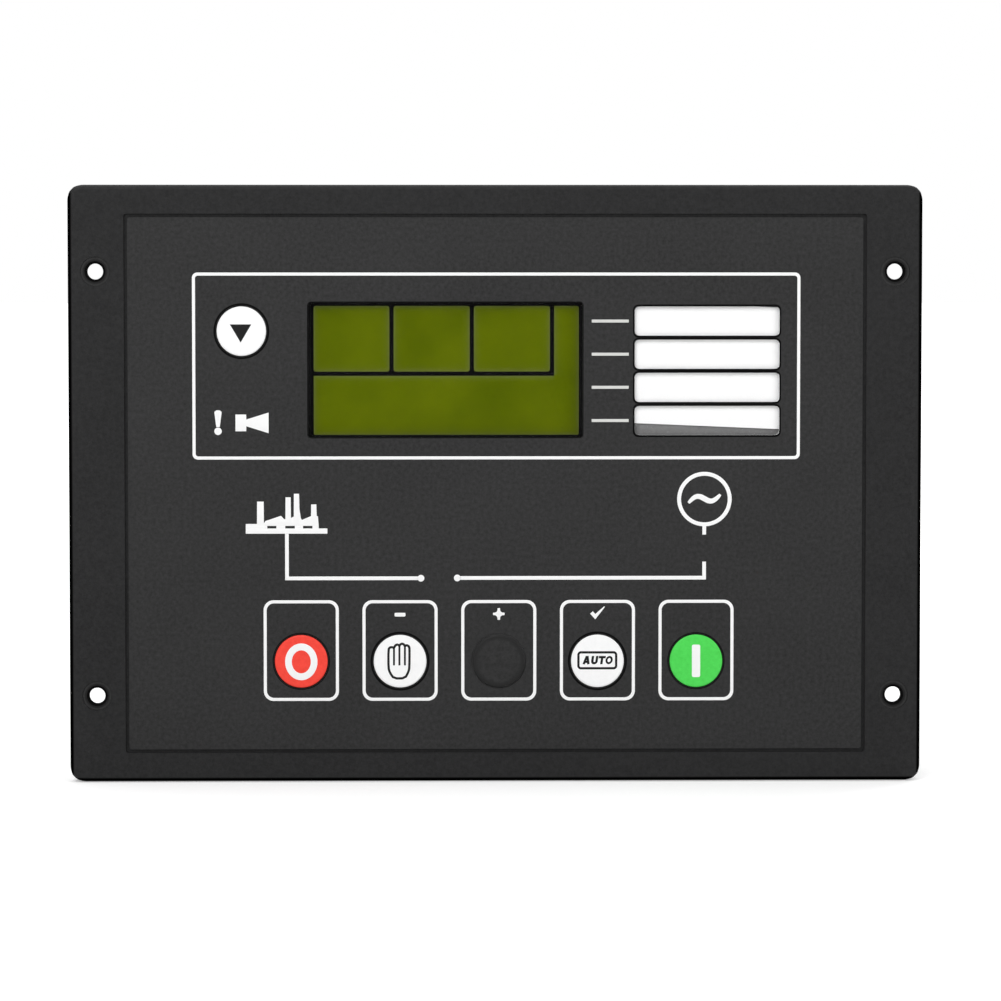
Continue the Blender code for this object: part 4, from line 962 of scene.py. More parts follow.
COPPER = finish(
    "choke_copper_wire", METAL, 2600.0, (0.42, 0.13, 0.04), (0.62, 0.22, 0.08), (0.35, 0.25),
    (0.2, 0.00004), Metallic=0.85,
)
TERMINAL_GREEN = finish(
    "terminal_block_green", MOULDED, 1900.0, (0.008, 0.155, 0.045), (0.016, 0.23, 0.075),
    (0.5, 0.38), (0.25, 0.00006),
)
LAMP_RED = finish(
    "lamp_red_epoxy", FILM, 900.0, (0.40, 0.012, 0.008), (0.58, 0.025, 0.015), (0.2, 0.12),
    (0.05, 0.00003), Coat_Weight=0.5,
)


# Camera, floor and light


def set_camera():
    """A long lens at the photograph's angle, on a line from the target point."""
    data = bpy.data.cameras.new("camera")
    data.lens = CAMERA_LENS
    data.sensor_width = 36.0
    data.clip_end = 30.0
    camera = bpy.data.objects.new("camera", data)
    away = Vector((
        math.sin(CAMERA_AZIMUTH) * math.cos(CAMERA_ELEVATION),
        -math.cos(CAMERA_AZIMUTH) * math.cos(CAMERA_ELEVATION),
        math.sin(CAMERA_ELEVATION),
    ))
    camera.location = CAMERA_TARGET + away * CAMERA_DISTANCE
    camera.rotation_euler = (-away).to_track_quat("-Z", "Y").to_euler()
    bpy.context.scene.collection.objects.link(camera)
    bpy.context.scene.camera = camera


def seen_directly(nodes, links):
    """1 for rays from the camera, or that reach the eye off gloss or through glass."""
    path = nodes.new("ShaderNodeLightPath")
    both = value_node(
        nodes, links, "ADD", path.outputs["Is Camera Ray"], path.outputs["Is Glossy Ray"]
    )
    return value_node(nodes, links, "ADD", both, path.outputs["Is Transmission Ray"], clamp=True)


def make_floor():
    """A plain pale floor under the lower edge of the flange, white in the distance.

    What it adds towards the camera grows with the distance from the object, so that only
    the ground near the object keeps its shade.
    """
    bpy.ops.mesh.primitive_plane_add(size=FLOOR_SIDE, location=(0.0, 0.0, cad_box[0][2] - FLOOR_GAP))
    floor = bpy.context.object
    floor.name = "floor"
    material = bpy.data.materials.new("floor_pale")
    material.use_nodes = True
    nodes, links = material.node_tree.nodes, material.node_tree.links
    shader = nodes["Principled BSDF"]
    shader.inputs["Base Color"].default_value = (0.86, 0.86, 0.86, 1.0)
    shader.inputs["Roughness"].default_value = 0.9
    shader.inputs["Specular IOR Level"].default_value = 0.1
    shader.inputs["Emission Color"].default_value = (1.0, 1.0, 1.0, 1.0)
    away = nodes.new("ShaderNodeVectorMath")
    away.operation = "LENGTH"
    links.new(object_place(nodes), away.inputs[0])
    growth = mapped(nodes, links, away.outputs["Value"], FLOOR_RING, FLOOR_GLOW, smooth=True)
    lift = value_node(nodes, links, "MULTIPLY", seen_directly(nodes, links), growth)
    links.new(lift, shader.inputs["Emission Strength"])
    floor.data.materials.append(material)


def make_light(name, place, size, power):
    """A square soft light that faces the middle of the object."""
    data = bpy.data.lights.new(name, "AREA")
    data.shape = "SQUARE"
    data.size = size
    data.energy = power
    light = bpy.data.objects.new(name, data)
    light.location = place
    light.rotation_euler = (-Vector(place)).to_track_quat("-Z", "Y").to_euler()
    bpy.context.scene.collection.objects.link(light)


def make_world():
    """White where it is seen, and dimmer where it only lights the object."""
    world = bpy.data.worlds.new("world")
    world.use_nodes = True
    nodes, links = world.node_tree.nodes, world.node_tree.links
    background = nodes["Background"]
    background.inputs["Color"].default_value = (1.0, 1.0, 1.0, 1.0)
    strength = mapped(nodes, links, seen_directly(nodes, links), (0.0, 1.0), (AMBIENT, 1.0))
    links.new(strength, background.inputs["Strength"])
    bpy.context.scene.world = world


bpy.context.scene.view_settings.view_transform = "Standard"
set_camera()
make_floor()
make_world()
for light, (place, side, power) in LIGHTS.items():
    make_light(light, place, side, power)


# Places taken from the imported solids


def middle(node):
    """Centre of a node's box."""
    low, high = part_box(node)
    return (low + high) / 2


FILM_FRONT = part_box("overlay_film")[0].y


def on_film(x, z):
    """The flat front of the overlay film."""
    return np.full(np.shape(x), FILM_FRONT)


# Printed overlay


def frame_line(centre, width, height, radius, line):
    """A rounded rectangle drawn with a line, given by its outer edge in millimetres."""
    centre = (centre[0] * MM, centre[1] * MM)
    outer = rounded_rectangle(centre, width * MM, height * MM, radius * MM)
    inner = rounded_rectangle(
        centre, (width - 2 * line) * MM, (height - 2 * line) * MM, (radius - line * 0.8) * MM
    )
    return ring(outer, inner, on_film)


def plain_line(start, end, width):
    """A straight printed line, in millimetres."""
    return ribbon(*stroke(millimetres(start, end), width * MM), on_film)


def filled(lower, upper):
    """A printed area between a lower and an upper edge, both in millimetres."""
    return ribbon(millimetres(*lower), millimetres(*upper), on_film)


def power_station(left, bottom):
    """The mains symbol: a works with a window row, saw-tooth roofs and four stacks."""
    roof = [
        (0.0, 2.75), (3.15, 2.75), (3.2, 9.05), (5.05, 9.05), (5.1, 2.95), (5.5, 3.55),
        (9.9, 5.05), (10.8, 4.1), (11.15, 4.1), (11.2, 10.25), (12.65, 10.25), (12.7, 4.4),
        (13.5, 4.85), (13.55, 11.25), (15.0, 11.25), (15.1, 6.9), (15.5, 4.4), (15.75, 3.85),
        (18.35, 4.95), (18.4, 8.25), (19.85, 8.25), (19.95, 5.0), (20.3, 4.9), (20.5, 2.3),
    ]
    sill, lintel = 1.47, 2.2
    base = [(left, bottom), (left + 22.94, bottom)]
    parts = [filled(base, [(x, bottom + sill) for x, _ in base])]
    for start, end in ((0.0, 6.05), (8.6, 11.1), (13.8, 16.1), (18.75, 20.5)):
        low = [(left + start, bottom + sill), (left + end, bottom + sill)]
        parts.append(filled(low, [(x, bottom + lintel) for x, _ in low]))
    upper = [(left + x, bottom + z) for x, z in roof]
    parts.append(filled([(x, bottom + lintel) for x, _ in upper], upper))
    return parts


def generator_symbol(centre, radius):
    """A circle with one wave z = 1.2 sin(2 pi t) + 2.4 (t - 0.5) in it, thicker in the middle."""
    place = (centre[0] * MM, centre[1] * MM)
    outer, inner = (ellipse(place, 2 * r * MM, 2 * r * MM) for r in (radius, radius - 1.1))
    t = np.linspace(0, 1, 40)
    x = centre[0] - 4.5 + 9.0 * t
    z = centre[1] + 0.1 + 1.2 * np.sin(math.tau * t) + 2.4 * (t - 0.5)
    line = (0.6 + 0.9 * np.sin(math.pi * t) ** 0.5) * MM
    wave = ribbon(*stroke(np.stack([x, z], axis=-1) * MM, line), on_film)
    return [ring(outer, inner, on_film), wave]


def plus_sign(centre, width, height, arm, fillet):
    """A plus with filleted inner corners, as its lower and upper edge.

    The half height over x is the full one across the upright arm, then
    arm + r - sqrt(r^2 - (arm + r - |x|)^2) through the fillet, then arm.
    """
    near = np.array([arm * 0.5, arm * 0.96, arm])
    bend = arm + fillet * (1 - np.cos(np.linspace(0.15, math.pi / 2, 8)))
    far = np.array([width / 2 - 0.12, width / 2 - 0.02, width / 2])
    right = np.concatenate([near, bend, far])
    into = np.clip(arm + fillet - right[3:], 0, fillet)
    rise = arm + fillet - np.sqrt(fillet**2 - into**2)
    half = np.concatenate([[height / 2, height / 2 - 0.02, height / 2 - 0.12], rise])
    half[-2:] = arm - 0.06, arm - 0.2
    x = np.concatenate([-right[::-1], right])
    half = np.concatenate([half[::-1], half])
    return (
        np.stack([centre[0] + x, centre[1] - half], axis=-1) * MM,
        np.stack([centre[0] + x, centre[1] + half], axis=-1) * MM,
    )


def dot(x, z):
    """A small filled circle at the end of a line."""
    radius = DOT_RADIUS * MM
    return ribbon(*chords((x * MM, z * MM), radius, radius), on_film)


def print_frames():
    """The large frame round display and windows, and a frame for each key of the row."""
    parts = [frame_line(*LARGE_FRAME, FRAME_LINE)]
    for name in list(KEY_SLOTS)[1:]:
        x = middle(f"key_{name}").x / MM
        parts.append(frame_line((x, KEY_FRAME_Z), *KEY_FRAME_SIZE, FRAME_LINE))
    return parts


def line_diagram():
    """The works and the generator, each with its line towards the middle and a dot there.

    The generator's line leaves room for its lamp. Its stem is thinner than the circle,
    so that the circle lies over it.
    """
    line = DIAGRAM_LINE * MM
    mains = millimetres((MAINS_X, WORKS_Z - 0.03), (MAINS_X, MAINS_Z), (MAINS_END, MAINS_Z))
    load = millimetres((LOAD_END, LOAD_Z), (LOAD_X, LOAD_Z), (LOAD_X, LAMP_BOTTOM))
    stem_top = GENERATOR_PLACE[1] - GENERATOR_RADIUS + 0.68
    stem = millimetres((LOAD_X, LAMP_TOP), (LOAD_X, stem_top))
    return [
        *power_station(WORKS_X, WORKS_Z),
        ribbon(*stroke(mains, line), on_film),
        dot(MAINS_END + 0.84, MAINS_Z),
        ribbon(*stroke(load, line), on_film),
        dot(LOAD_END - 0.82, LOAD_Z),
        ribbon(*stroke(stem, line), on_film, thickness=INK * 0.8),
        *generator_symbol(GENERATOR_PLACE, GENERATOR_RADIUS),
    ]


def warning_sign():
    """A bar that widens upwards to a rounded end, over a dot."""
    rise = np.linspace(0, 1, 12)
    half = (0.5 + 0.6 * rise) * np.sqrt(1 - np.maximum(0, (rise - 0.86) / 0.15) ** 2) * MM
    x, z = WARNING_X * MM, (WARNING_Z + 4.7 * rise) * MM
    bar_left, bar_right = (np.stack([x + side * half, z], axis=-1) for side in (-1, 1))
    point = chords((x, (WARNING_Z - 1.2) * MM), 1.05 * MM, 1.05 * MM)
    return [ribbon(bar_left, bar_right, on_film), ribbon(*point, on_film)]


def horn():
    """A horn seen from the side: a square driver and a flaring mouth."""
    outline = [(-73.1, 2.35), (-70.1, 2.35), (-70.05, 0.95), (-63.8, 2.9)]
    lower, upper = ([(x, HORN_Z + side * half) for x, half in outline] for side in (-1, 1))
    return filled(lower, upper)


def key_marks():
    """Minus, plus and tick above three of the keys."""
    manual, test, auto = (middle(f"key_{name}").x / MM for name in ("manual", "test", "auto"))
    minus = bar((MARKS_Z * MM, manual * MM), 1.05 * MM, 3.1 * MM, 0.3 * MM)
    plus = plus_sign((test, MARKS_Z + 0.17), 3.25, 3.3, 0.36, 0.9)
    tick = millimetres((auto - 1.7, -36.3), (auto - 0.62, -37.5), (auto + 2.0, -34.65))
    return [
        ribbon(minus[0][:, ::-1], minus[1][:, ::-1], on_film),
        ribbon(*plus, on_film),
        ribbon(*stroke(tick, np.array([1.0, 1.02, 0.28]) * MM), on_film),
    ]


def print_overlay():
    """White print on the film: frames, line diagram, warning sign, horn and marks."""
    parts = print_frames() + line_diagram() + warning_sign() + [horn()] + key_marks()
    new_piece("overlay_print", parts, INK_WHITE, "controller")


def print_ticks():
    """The four short lines between the display and the legend windows."""
    parts = [plain_line((TICK_FROM, z), (TICK_TO, z), TICK_LINE) for z in TICKS_Z]
    new_piece("overlay_tick_lines", parts, INK_GREY, "controller")


def print_key_shade_rings():
    """A black ring on the film round the opening of each key, painted shade of the gap there, widest
    round the white ones.
    """
    parts = []
    for name, slot in KEY_SLOTS.items():
        if slot == "key_black":
            continue
        low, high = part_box(f"key_{name}")
        centre = ((low.x + high.x) / 2, (low.z + high.z) / 2)
        opening = (high.x - low.x) / 2 - KEY_COLLAR + KEY_OPENING
        line = KEY_RING_WIDE if slot == "key_white" else KEY_RING_NARROW
        outer, inner = (
            ellipse(centre, 2 * radius, 2 * radius, ROUND_STEPS)
            for radius in (opening + line, opening)
        )
        parts.append(ring(outer, inner, on_film))
    # The key rings are painted shade, drawn as black ink
    new_piece("key_rings", parts, WINDOW_BLACK, "controller")


print_overlay()
print_ticks()
print_key_shade_rings()


# Key caps


def cap_face(centre, radius, front):
    """The key's face y = f(x, z): a shallow dome, lowest at the edge of the flat zone."""
    def face(x, z):
        share = np.clip(np.hypot(x - centre.x, z - centre.z) / radius, 0, 1)
        return front - CAP_RISE * (1 - share**2)

    return face


def key_profile(radius, front, rear, face):
    """Rows of (radius, depth) from the middle of the cap to the end of the stem.

    They run over the dome y = face(radius) and the cap's quarter-round edge, flare out in
    the opening of the film, and go down to the collar behind the moulding and the stem that
    meets the switch. The count of the rows on dome and edge comes with them.
    """
    flat = radius - CAP_EDGE
    share = np.concatenate([[0.01], np.linspace(0.1, 1, 14)])
    dome = [(flat * r, face(flat * r)) for r in share]
    turn = np.linspace(0, math.pi / 2, 8)[1:]
    round_edge = [
        (flat + CAP_EDGE * math.sin(t), front + CAP_EDGE * (1 - math.cos(t))) for t in turn
    ]
    foot = front + CAP_EDGE
    flare = [
        (radius + KEY_FLARE * 0.4, foot + 0.1 * MM),
        (radius + KEY_FLARE, foot + 0.2 * MM),
        (radius + KEY_FLARE, foot + 0.3 * MM),
        (radius, foot + 0.5 * MM),
    ]
    outer, collar_rear = radius + KEY_COLLAR, KEY_COLLAR_FRONT + KEY_COLLAR_DEPTH
    collar = [
        (radius, KEY_COLLAR_FRONT - 0.05 * MM),
        (radius + 0.05 * MM, KEY_COLLAR_FRONT),
        (outer - KEY_COLLAR_EASE, KEY_COLLAR_FRONT),
        (outer, KEY_COLLAR_FRONT + KEY_COLLAR_EASE),
        (outer, collar_rear - KEY_COLLAR_EASE),
        (outer - KEY_COLLAR_EASE, collar_rear),
    ]
    stem = [(KEY_STEM, collar_rear), (KEY_STEM, rear - 0.1 * MM), (KEY_STEM - 0.2 * MM, rear)]
    return np.array(dome + round_edge + flare + collar + stem), len(dome) + len(round_edge)


def key_signs(marks, place, face):
    """The lines and areas of a key's sign as layers of ink on its dome."""
    parts = []
    for left, right, around in marks:
        left, right = (edge * MM + place for edge in divided((left, right), 0.4, around))
        parts.append(ribbon(left, right, face, closed=around, columns=7))
    return parts


def make_key(name, cap_finish, marks, mark_finish):
    """A key cap turned about its own axis, with its printed sign in raised ink.

    A key without a sign is film all over, and its colour goes down into the opening.
    """
    node, body, slot = f"key_{name}", f"{name}_key", KEY_SLOTS[name]
    low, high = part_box(node)
    centre = middle(node)
    radius = (high.x - low.x) / 2 - KEY_COLLAR
    front = FILM_FRONT - KEY_PROUD
    face = cap_face(centre, radius - CAP_EDGE, front)
    profile, cap_rows = key_profile(
        radius, front, high.y, lambda away: float(face(centre.x + away, centre.z))
    )
    profile[:, 1] = np.maximum(profile[:, 1], low.y)
    part = turned((centre.x, 0.0, centre.z), profile)
    printed = cap_rows + (-3 if marks else 2)
    rows = np.repeat(np.arange(len(profile) - 1), ROUND_STEPS)
    numbers = np.concatenate([np.where(rows < printed, 0, 1), [0, 1]])
    finishes = [cap_finish, KEY_SIDE]
    cap = new_piece(f"cap_{name}", [part], finishes, body, smooth=40, numbers=[numbers])
    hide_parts(node)
    places = point_places(cap.data)
    away = np.hypot(places[:, 0] - centre.x, places[:, 2] - centre.z)
    # How far out each point lies, read by the painted shade and highlight on a key's shoulder
    mark_points(cap.data, "reach", away / radius)
    if marks:
        signs = key_signs(marks, np.array([centre.x, centre.z]), face)
        new_piece(f"sign_{name}", signs, mark_finish, body)


def scroll_sign():
    """A filled triangle that points down."""
    return [(
        np.array([(-3.2, 1.9), (-0.22, -3.15)]), np.array([(2.8, 1.9), (-0.18, -3.15)]), False
    )]


def stop_sign():
    """An upright oval ring."""
    return [(ellipse((0.0, -0.1), 9.1, 10.4), ellipse((0.0, -0.1), 5.35, 6.5), True)]


def hand_sign():
    """An open hand in outline, with three lines between its fingers."""
    outline = [
        (-3.29, -1.8), (-3.29, 3.3), (-2.9, 3.95), (-2.15, 4.0), (-1.72, 3.8), (-1.4, 4.4),
        (-0.93, 4.75), (-0.45, 4.65), (-0.19, 4.35), (0.1, 4.8), (0.6, 5.0), (1.1, 4.75),
        (1.36, 4.3), (1.65, 4.5), (2.15, 4.5), (2.62, 4.0), (2.66, 3.0), (2.62, -1.6),
        (2.4, -2.9), (1.4, -4.8), (-1.75, -4.86), (-2.9, -3.2),
    ]
    signs = [(*stroke(softened(outline), 0.66, closed=True), True)]
    for x, top in ((-1.72, 3.7), (-0.19, 4.2), (1.36, 4.2)):
        signs.append((*stroke([(x, -1.14), (x, top)], 0.55), False))
    return signs


def auto_sign():
    """The word AUTO in plain sloping block letters inside a rounded frame.

    The letters stand between low and high, and a, u, t and o are their middles. x leans
    by slope times z.
    """
    frame_centre = (-0.05, 0.2)
    outer = rounded_rectangle(frame_centre, 11.3, 5.15, 1.05)
    inner = rounded_rectangle(frame_centre, 10.0, 3.85, 0.4)
    low, high, thick, slope = -0.9, 1.42, 0.66, 0.14
    a, u, t, o = -3.1, -0.85, 1.2, 3.25
    level = (low + high) / 2
    lines = [
        [(a - 0.68, low), (a - 0.06, high)],
        [(a + 0.68, low), (a + 0.06, high)],
        [(a - 0.5, low + 0.68), (a + 0.5, low + 0.68)],
        [(t - 0.98, high - thick / 2), (t + 0.98, high - thick / 2)],
        [(t, low), (t, high - 0.4)],
    ]
    letters = [(*stroke(line, thick), False) for line in lines]
    bend = np.linspace(math.pi, math.tau, 12)
    bowl = np.stack([u + 0.6 * np.cos(bend), low + 0.85 + 0.56 * np.sin(bend)], axis=-1)
    cup = np.vstack([[(u - 0.6, high)], bowl, [(u + 0.6, high)]])
    letters.append((*stroke(cup, thick), False))
    letters.append((ellipse((o, level), 2.0, 2.32, 40), ellipse((o, level), 0.9, 1.18, 40), True))
    lean = np.array([[1.0, 0.0], [slope, 1.0]])
    letters = [(one @ lean, other @ lean, around) for one, other, around in letters]
    return [(outer, inner, True)] + letters


def start_sign():
    """An upright bar."""
    left, right = bar((0.0, 0.0), 2.35, 9.2, 0.5)
    return [(left, right, False)]


make_key("scroll", KEY_WHITE, scroll_sign(), INK_BLACK)
make_key("stop", KEY_RED, stop_sign(), INK_WHITE)
make_key("manual", KEY_WHITE, hand_sign(), INK_BLACK)
make_key("test", KEY_BLACK, None, None)
make_key("auto", KEY_WHITE, auto_sign(), INK_BLACK)
make_key("start", KEY_GREEN, start_sign(), INK_WHITE)


# Display


def display_finish():
    """Olive reflective cell: slow blotches, fine grain and a paler rim along each field."""
    material = bpy.data.materials.new("lcd_olive_cell")
    material.use_nodes = True
    nodes, links = material.node_tree.nodes, material.node_tree.links
    shader = nodes["Principled BSDF"]
    place = object_place(nodes)
    blotch = mapped(nodes, links, noise_node(nodes, links, place, 55.0, detail=2.0), (0.3, 0.7))
    grain = noise_node(nodes, links, place, 1100.0, detail=2.0)
    both = value_node(nodes, links, "MULTIPLY_ADD", grain, 0.4, value_node(
        nodes, links, "MULTIPLY", blotch, 0.6))
    colour = nodes.new("ShaderNodeMix")
    colour.data_type = "RGBA"
    colour.inputs["A"].default_value = (0.070, 0.100, 0.0004, 1.0)
    colour.inputs["B"].default_value = (0.126, 0.162, 0.002, 1.0)
    links.new(both, colour.inputs["Factor"])
    rim = nodes.new("ShaderNodeAttribute")
    rim.attribute_name = "rim"
    links.new(colour.outputs["Result"], shader.inputs["Base Color"])
    shader.inputs["Roughness"].default_value = 0.6
    shader.inputs["Specular IOR Level"].default_value = 0.0
    return laid_over(material, rim.outputs["Fac"], (0.125, 0.150, 0.045))


def rim_nearness(x, z):
    """How near points in millimetres lie to a border or line: share exp(-distance / reach)."""
    half = CELL_LINE / 2
    away = [x - GREEN_LEFT, GREEN_RIGHT - x, z - GREEN_BOTTOM, GREEN_TOP - z]
    away.append(np.where(x < CELL_LINES_X[-1] + half, np.abs(z - CELL_LINE_Z) - half, 9.0))
    for line in CELL_LINES_X:
        away.append(np.where(z > CELL_LINE_Z - half, np.abs(x - line) - half, 9.0))
    return np.exp(-np.maximum(np.min(away, axis=0), 0) / RIM_REACH) * RIM_SHARE


def make_display():
    """The cell as a fine grid, which carries the shade of its rims point by point."""
    low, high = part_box("lcd_glass")
    x = np.linspace(low.x, high.x, 200)
    z = np.linspace(low.z, high.z, 120)
    grid_x, grid_z = np.meshgrid(x, z, indexing="ij")
    front = np.stack([grid_x, np.full_like(grid_x, low.y), grid_z], axis=-1)
    rear = front[:, ::-1].copy()
    rear[..., 1] = high.y
    cell = new_piece(
        "lcd_cell", [surface(np.concatenate([front, rear], axis=1))], display_finish(),
        "controller", smooth=30,
    )
    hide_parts("lcd_glass")
    places = point_places(cell.data) / MM
    mark_points(cell.data, "rim", rim_nearness(places[:, 0], places[:, 2]))


def mask_display():
    """The black mask printed on the cell: its border, the lines between fields, their corners."""
    low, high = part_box("lcd_glass")
    half = CELL_LINE / 2

    def on_cell(x, z):
        return np.full(np.shape(x), low.y)

    outer = rectangle_between(
        low.x / MM + MASK_INSET, high.x / MM - MASK_INSET,
        low.z / MM + MASK_INSET, high.z / MM - MASK_INSET, MASK_INSET,
    )
    inner = rectangle_between(GREEN_LEFT, GREEN_RIGHT, GREEN_BOTTOM, GREEN_TOP, 0.6)
    parts = [ring(outer, inner, on_cell)]
    for line in CELL_LINES_X:
        run = millimetres((line, CELL_LINE_Z), (line, GREEN_TOP + 0.1))
        parts.append(ribbon(*stroke(run, CELL_LINE * MM), on_cell))
    lap = 0.4 * half
    for start, end in zip((GREEN_LEFT - half, *CELL_LINES_X), CELL_LINES_X):
        left, right, bottom = start + half, end - half, CELL_LINE_Z + half
        parts.append(ring(
            rectangle_between(left - lap, right + lap, bottom - lap, GREEN_TOP + lap, 0.02),
            rectangle_between(left, right, bottom, GREEN_TOP, CELL_CORNER),
            on_cell, thickness=INK * 0.8,
        ))
    run = millimetres((GREEN_LEFT - 0.1, CELL_LINE_Z), (CELL_LINES_X[-1] + half, CELL_LINE_Z))
    parts.append(ribbon(*stroke(run, CELL_LINE * MM), on_cell, thickness=INK * 1.2))
    new_piece("lcd_mask", parts, WINDOW_BLACK, "controller")


make_display()
mask_display()


# Printed black borders of the windows


def keyline(limits, across, up, outer_radius, play, inner_radius):
    """A printed border round an opening, in millimetres.

    It reaches past the opening's four limits by across at the sides and up at top and
    bottom, and its inner edge stands off them by play.
    """
    left, right, bottom, top = limits
    outer = rectangle_between(left - across, right + across, bottom - up, top + up, outer_radius)
    inner = rectangle_between(left - play, right + play, bottom - play, top + play, inner_radius)
    return ring(outer, inner, on_film)


def window_borders():
    """A thin black keyline round the display window and each legend window."""
    parts = [keyline((LCD_LEFT, LCD_RIGHT, LCD_BOTTOM, LCD_TOP), 0.25, 0.25, 1.1, 0.02, 0.55)]
    half_width, half_height = WINDOW_SIZE[0] / 2, WINDOW_SIZE[1] / 2
    for z in WINDOWS_Z:
        limits = (WINDOW_X - half_width, WINDOW_X + half_width, z - half_height, z + half_height)
        parts.append(keyline(limits, 0.475, 0.55, 1.6, 0.025, 1.22))
    new_piece("window_keylines", parts, WINDOW_BLACK, "controller")


window_borders()


# Moulded shells, and the parts of them with a finish of their own, painted shade and a painted glow
# among them


def flange_rim(centres, normals):
    """Faces of the flange's rounded edge at its sides and below, without its flat walls, which get
    the painted shade.
    """
    side = np.abs(centres[:, 0]) > cad_box[1][0] - EDGE_SHADE
    below = centres[:, 2] < cad_box[0][2] + EDGE_SHADE
    rounded = np.max(np.abs(normals), axis=1) < 0.985
    return (side | below) & (centres[:, 1] < EDGE_REAR) & rounded


def from_hole(centres):
    """How far face centres lie from the axis of the nearest screw hole."""
    return np.hypot(np.abs(centres[:, 0]) - HOLES_AT[0], np.abs(centres[:, 2]) - HOLES_AT[1])


def screw_holes(centres, normals):
    """Faces of the chamfers and bores of the four screw holes, which get near-black painted shade."""
    return (from_hole(centres) < CHAMFER_RADIUS) & (np.abs(normals[:, 1]) < 0.99)


def screw_seats(centres, normals):
    """The flat seats round the screw holes: annular faces, with their centre on the axis, which get
    rings of painted shade.
    """
    return (from_hole(centres) < SEAT_RADIUS) & (normals[:, 1] < -0.99)


def window_walls_glowing(centres, normals):
    """Edges of the film in the legend windows, painted white with a glow that lifts the shade on the
    card at the windows' rims.
    """
    beside = np.abs(centres[:, 0] - WINDOW_X * MM) < WINDOW_SIZE[0] / 2 * MM + 0.3 * MM
    lowest = (WINDOWS_Z[-1] - WINDOW_SIZE[1]) * MM
    return beside & (centres[:, 2] > lowest) & (np.abs(normals[:, 1]) < 0.9)


refined(
    "fascia", FASCIA_BLACK, 0.12 * MM, angle=35, rounded=True,
    zones=[(FASCIA_EDGE_SHADED, flange_rim), (HOLE_PAINTED_SHADE, screw_holes), (HOLE_SEAT_SHADED, screw_seats)],
)
refined(
    "overlay_film", OVERLAY_BLACK, 0.05 * MM, rounded=True,
    zones=[(FILM_EDGE_GLOW, window_walls_glowing)],
)
refined("rear_housing", HOUSING_BLACK, 0.25 * MM, angle=35)
for plug, _, _ in TERMINALS:
    refined(f"plug_{plug}", TERMINAL_GREEN, 0.15 * MM)
    refined(f"header_{plug}", TERMINAL_GREEN, 0.1 * MM)
refined("pc_socket", CHIP_BLACK, 0.15 * MM)


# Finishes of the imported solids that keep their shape

FINISHES = {
    "window_film": CLEAR,
    "lcd_lens": CLEAR,
    "label_card": CARD_WHITE,
    "card_pocket": SHEET_GREY,
    "lcd_bezel": BLACK_METAL,
    "lcd_backlight": LIGHT_WHITE,
    "display_board": BOARD_GREEN,
    "main_board": BOARD_GREEN,
    "board_pillar": BRASS,
    "housing_screw": STEEL,
    "board_link": CHIP_BLACK,
    "processor": CHIP_BLACK,
    "switch": CHIP_BLACK,
    "plunger": CHIP_BLACK,
    "relay": RELAY_BLUE,
    "capacitor": SLEEVE_BLACK,
    "power_choke": COPPER,
    "led": LAMP_RED,
}

for node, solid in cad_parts.items():
    if solid.hide_render:
        continue
    for start, chosen in FINISHES.items():
        if node.startswith(start):
            for slot in solid.material_slots:
                slot.material = chosen


# Fittings at the back


def pole_places(name, poles, pitch):
    """The box of a terminal plug, the side of its row and the place of each pole across."""
    low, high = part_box(f"plug_{name}")
    row = 1 if (low.z + high.z) > 0 else -1
    places = (low.x + high.x) / 2 + (np.arange(poles) - (poles - 1) / 2) * pitch
    return low, high, row, places


def slotted_head():
    """A slotted pan head about the origin, facing up, as a grid.

    P(u, v) runs over chords y = +-sqrt(R^2 - x^2) of the head, domed in z. Rows between
    the slot's two edges lie lower by its depth.
    """
    radius, slot, deep = 1.45 * MM, 0.3 * MM, 0.55 * MM
    stations = np.array([-0.999, -0.85, -0.6, -0.35])
    x = np.concatenate([stations * radius, [-slot, -slot, slot, slot], -stations[::-1] * radius])
    cut = np.concatenate([np.zeros(5), [deep, deep], np.zeros(5)])
    share = np.array([-1, -1, -0.9, -0.6, 0, 0.6, 0.9, 1, 1])
    half = np.sqrt(radius**2 - x**2)
    across = half[:, None] * share[None, :]
    reach = np.hypot(x[:, None], across) / radius
    top = 0.55 * MM * np.sqrt(np.clip(1.3 - reach**2, 0, None)) - cut[:, None]
    top[:, [0, -1]] = -0.8 * MM
    return np.stack([np.broadcast_to(x[:, None], across.shape), across, top], axis=-1)


def clamp_screws():
    """A slotted head at the bottom of each clamp hole, each turned in its own way."""
    head = slotted_head()
    inset, sunk = 1.75 * MM, 7.5 * MM
    parts = []
    for name, poles, pitch in TERMINALS:
        low, high, row, places = pole_places(name, poles, pitch)
        z = high.z - inset if row > 0 else low.z + inset
        for number, place in enumerate(places):
            turn = 0.35 + 1.9 * math.sin(number * 2.4 + poles)
            c, s = math.cos(turn), math.sin(turn)
            across, up = head[..., 0] * c - head[..., 1] * s, head[..., 0] * s + head[..., 1] * c
            spun = np.stack([across, up, head[..., 2] * row], axis=-1)
            parts.append(moved(surface(spun), (place, high.y - sunk, z)))
    new_piece("clamp_screws", parts, STEEL, "controller", smooth=35)


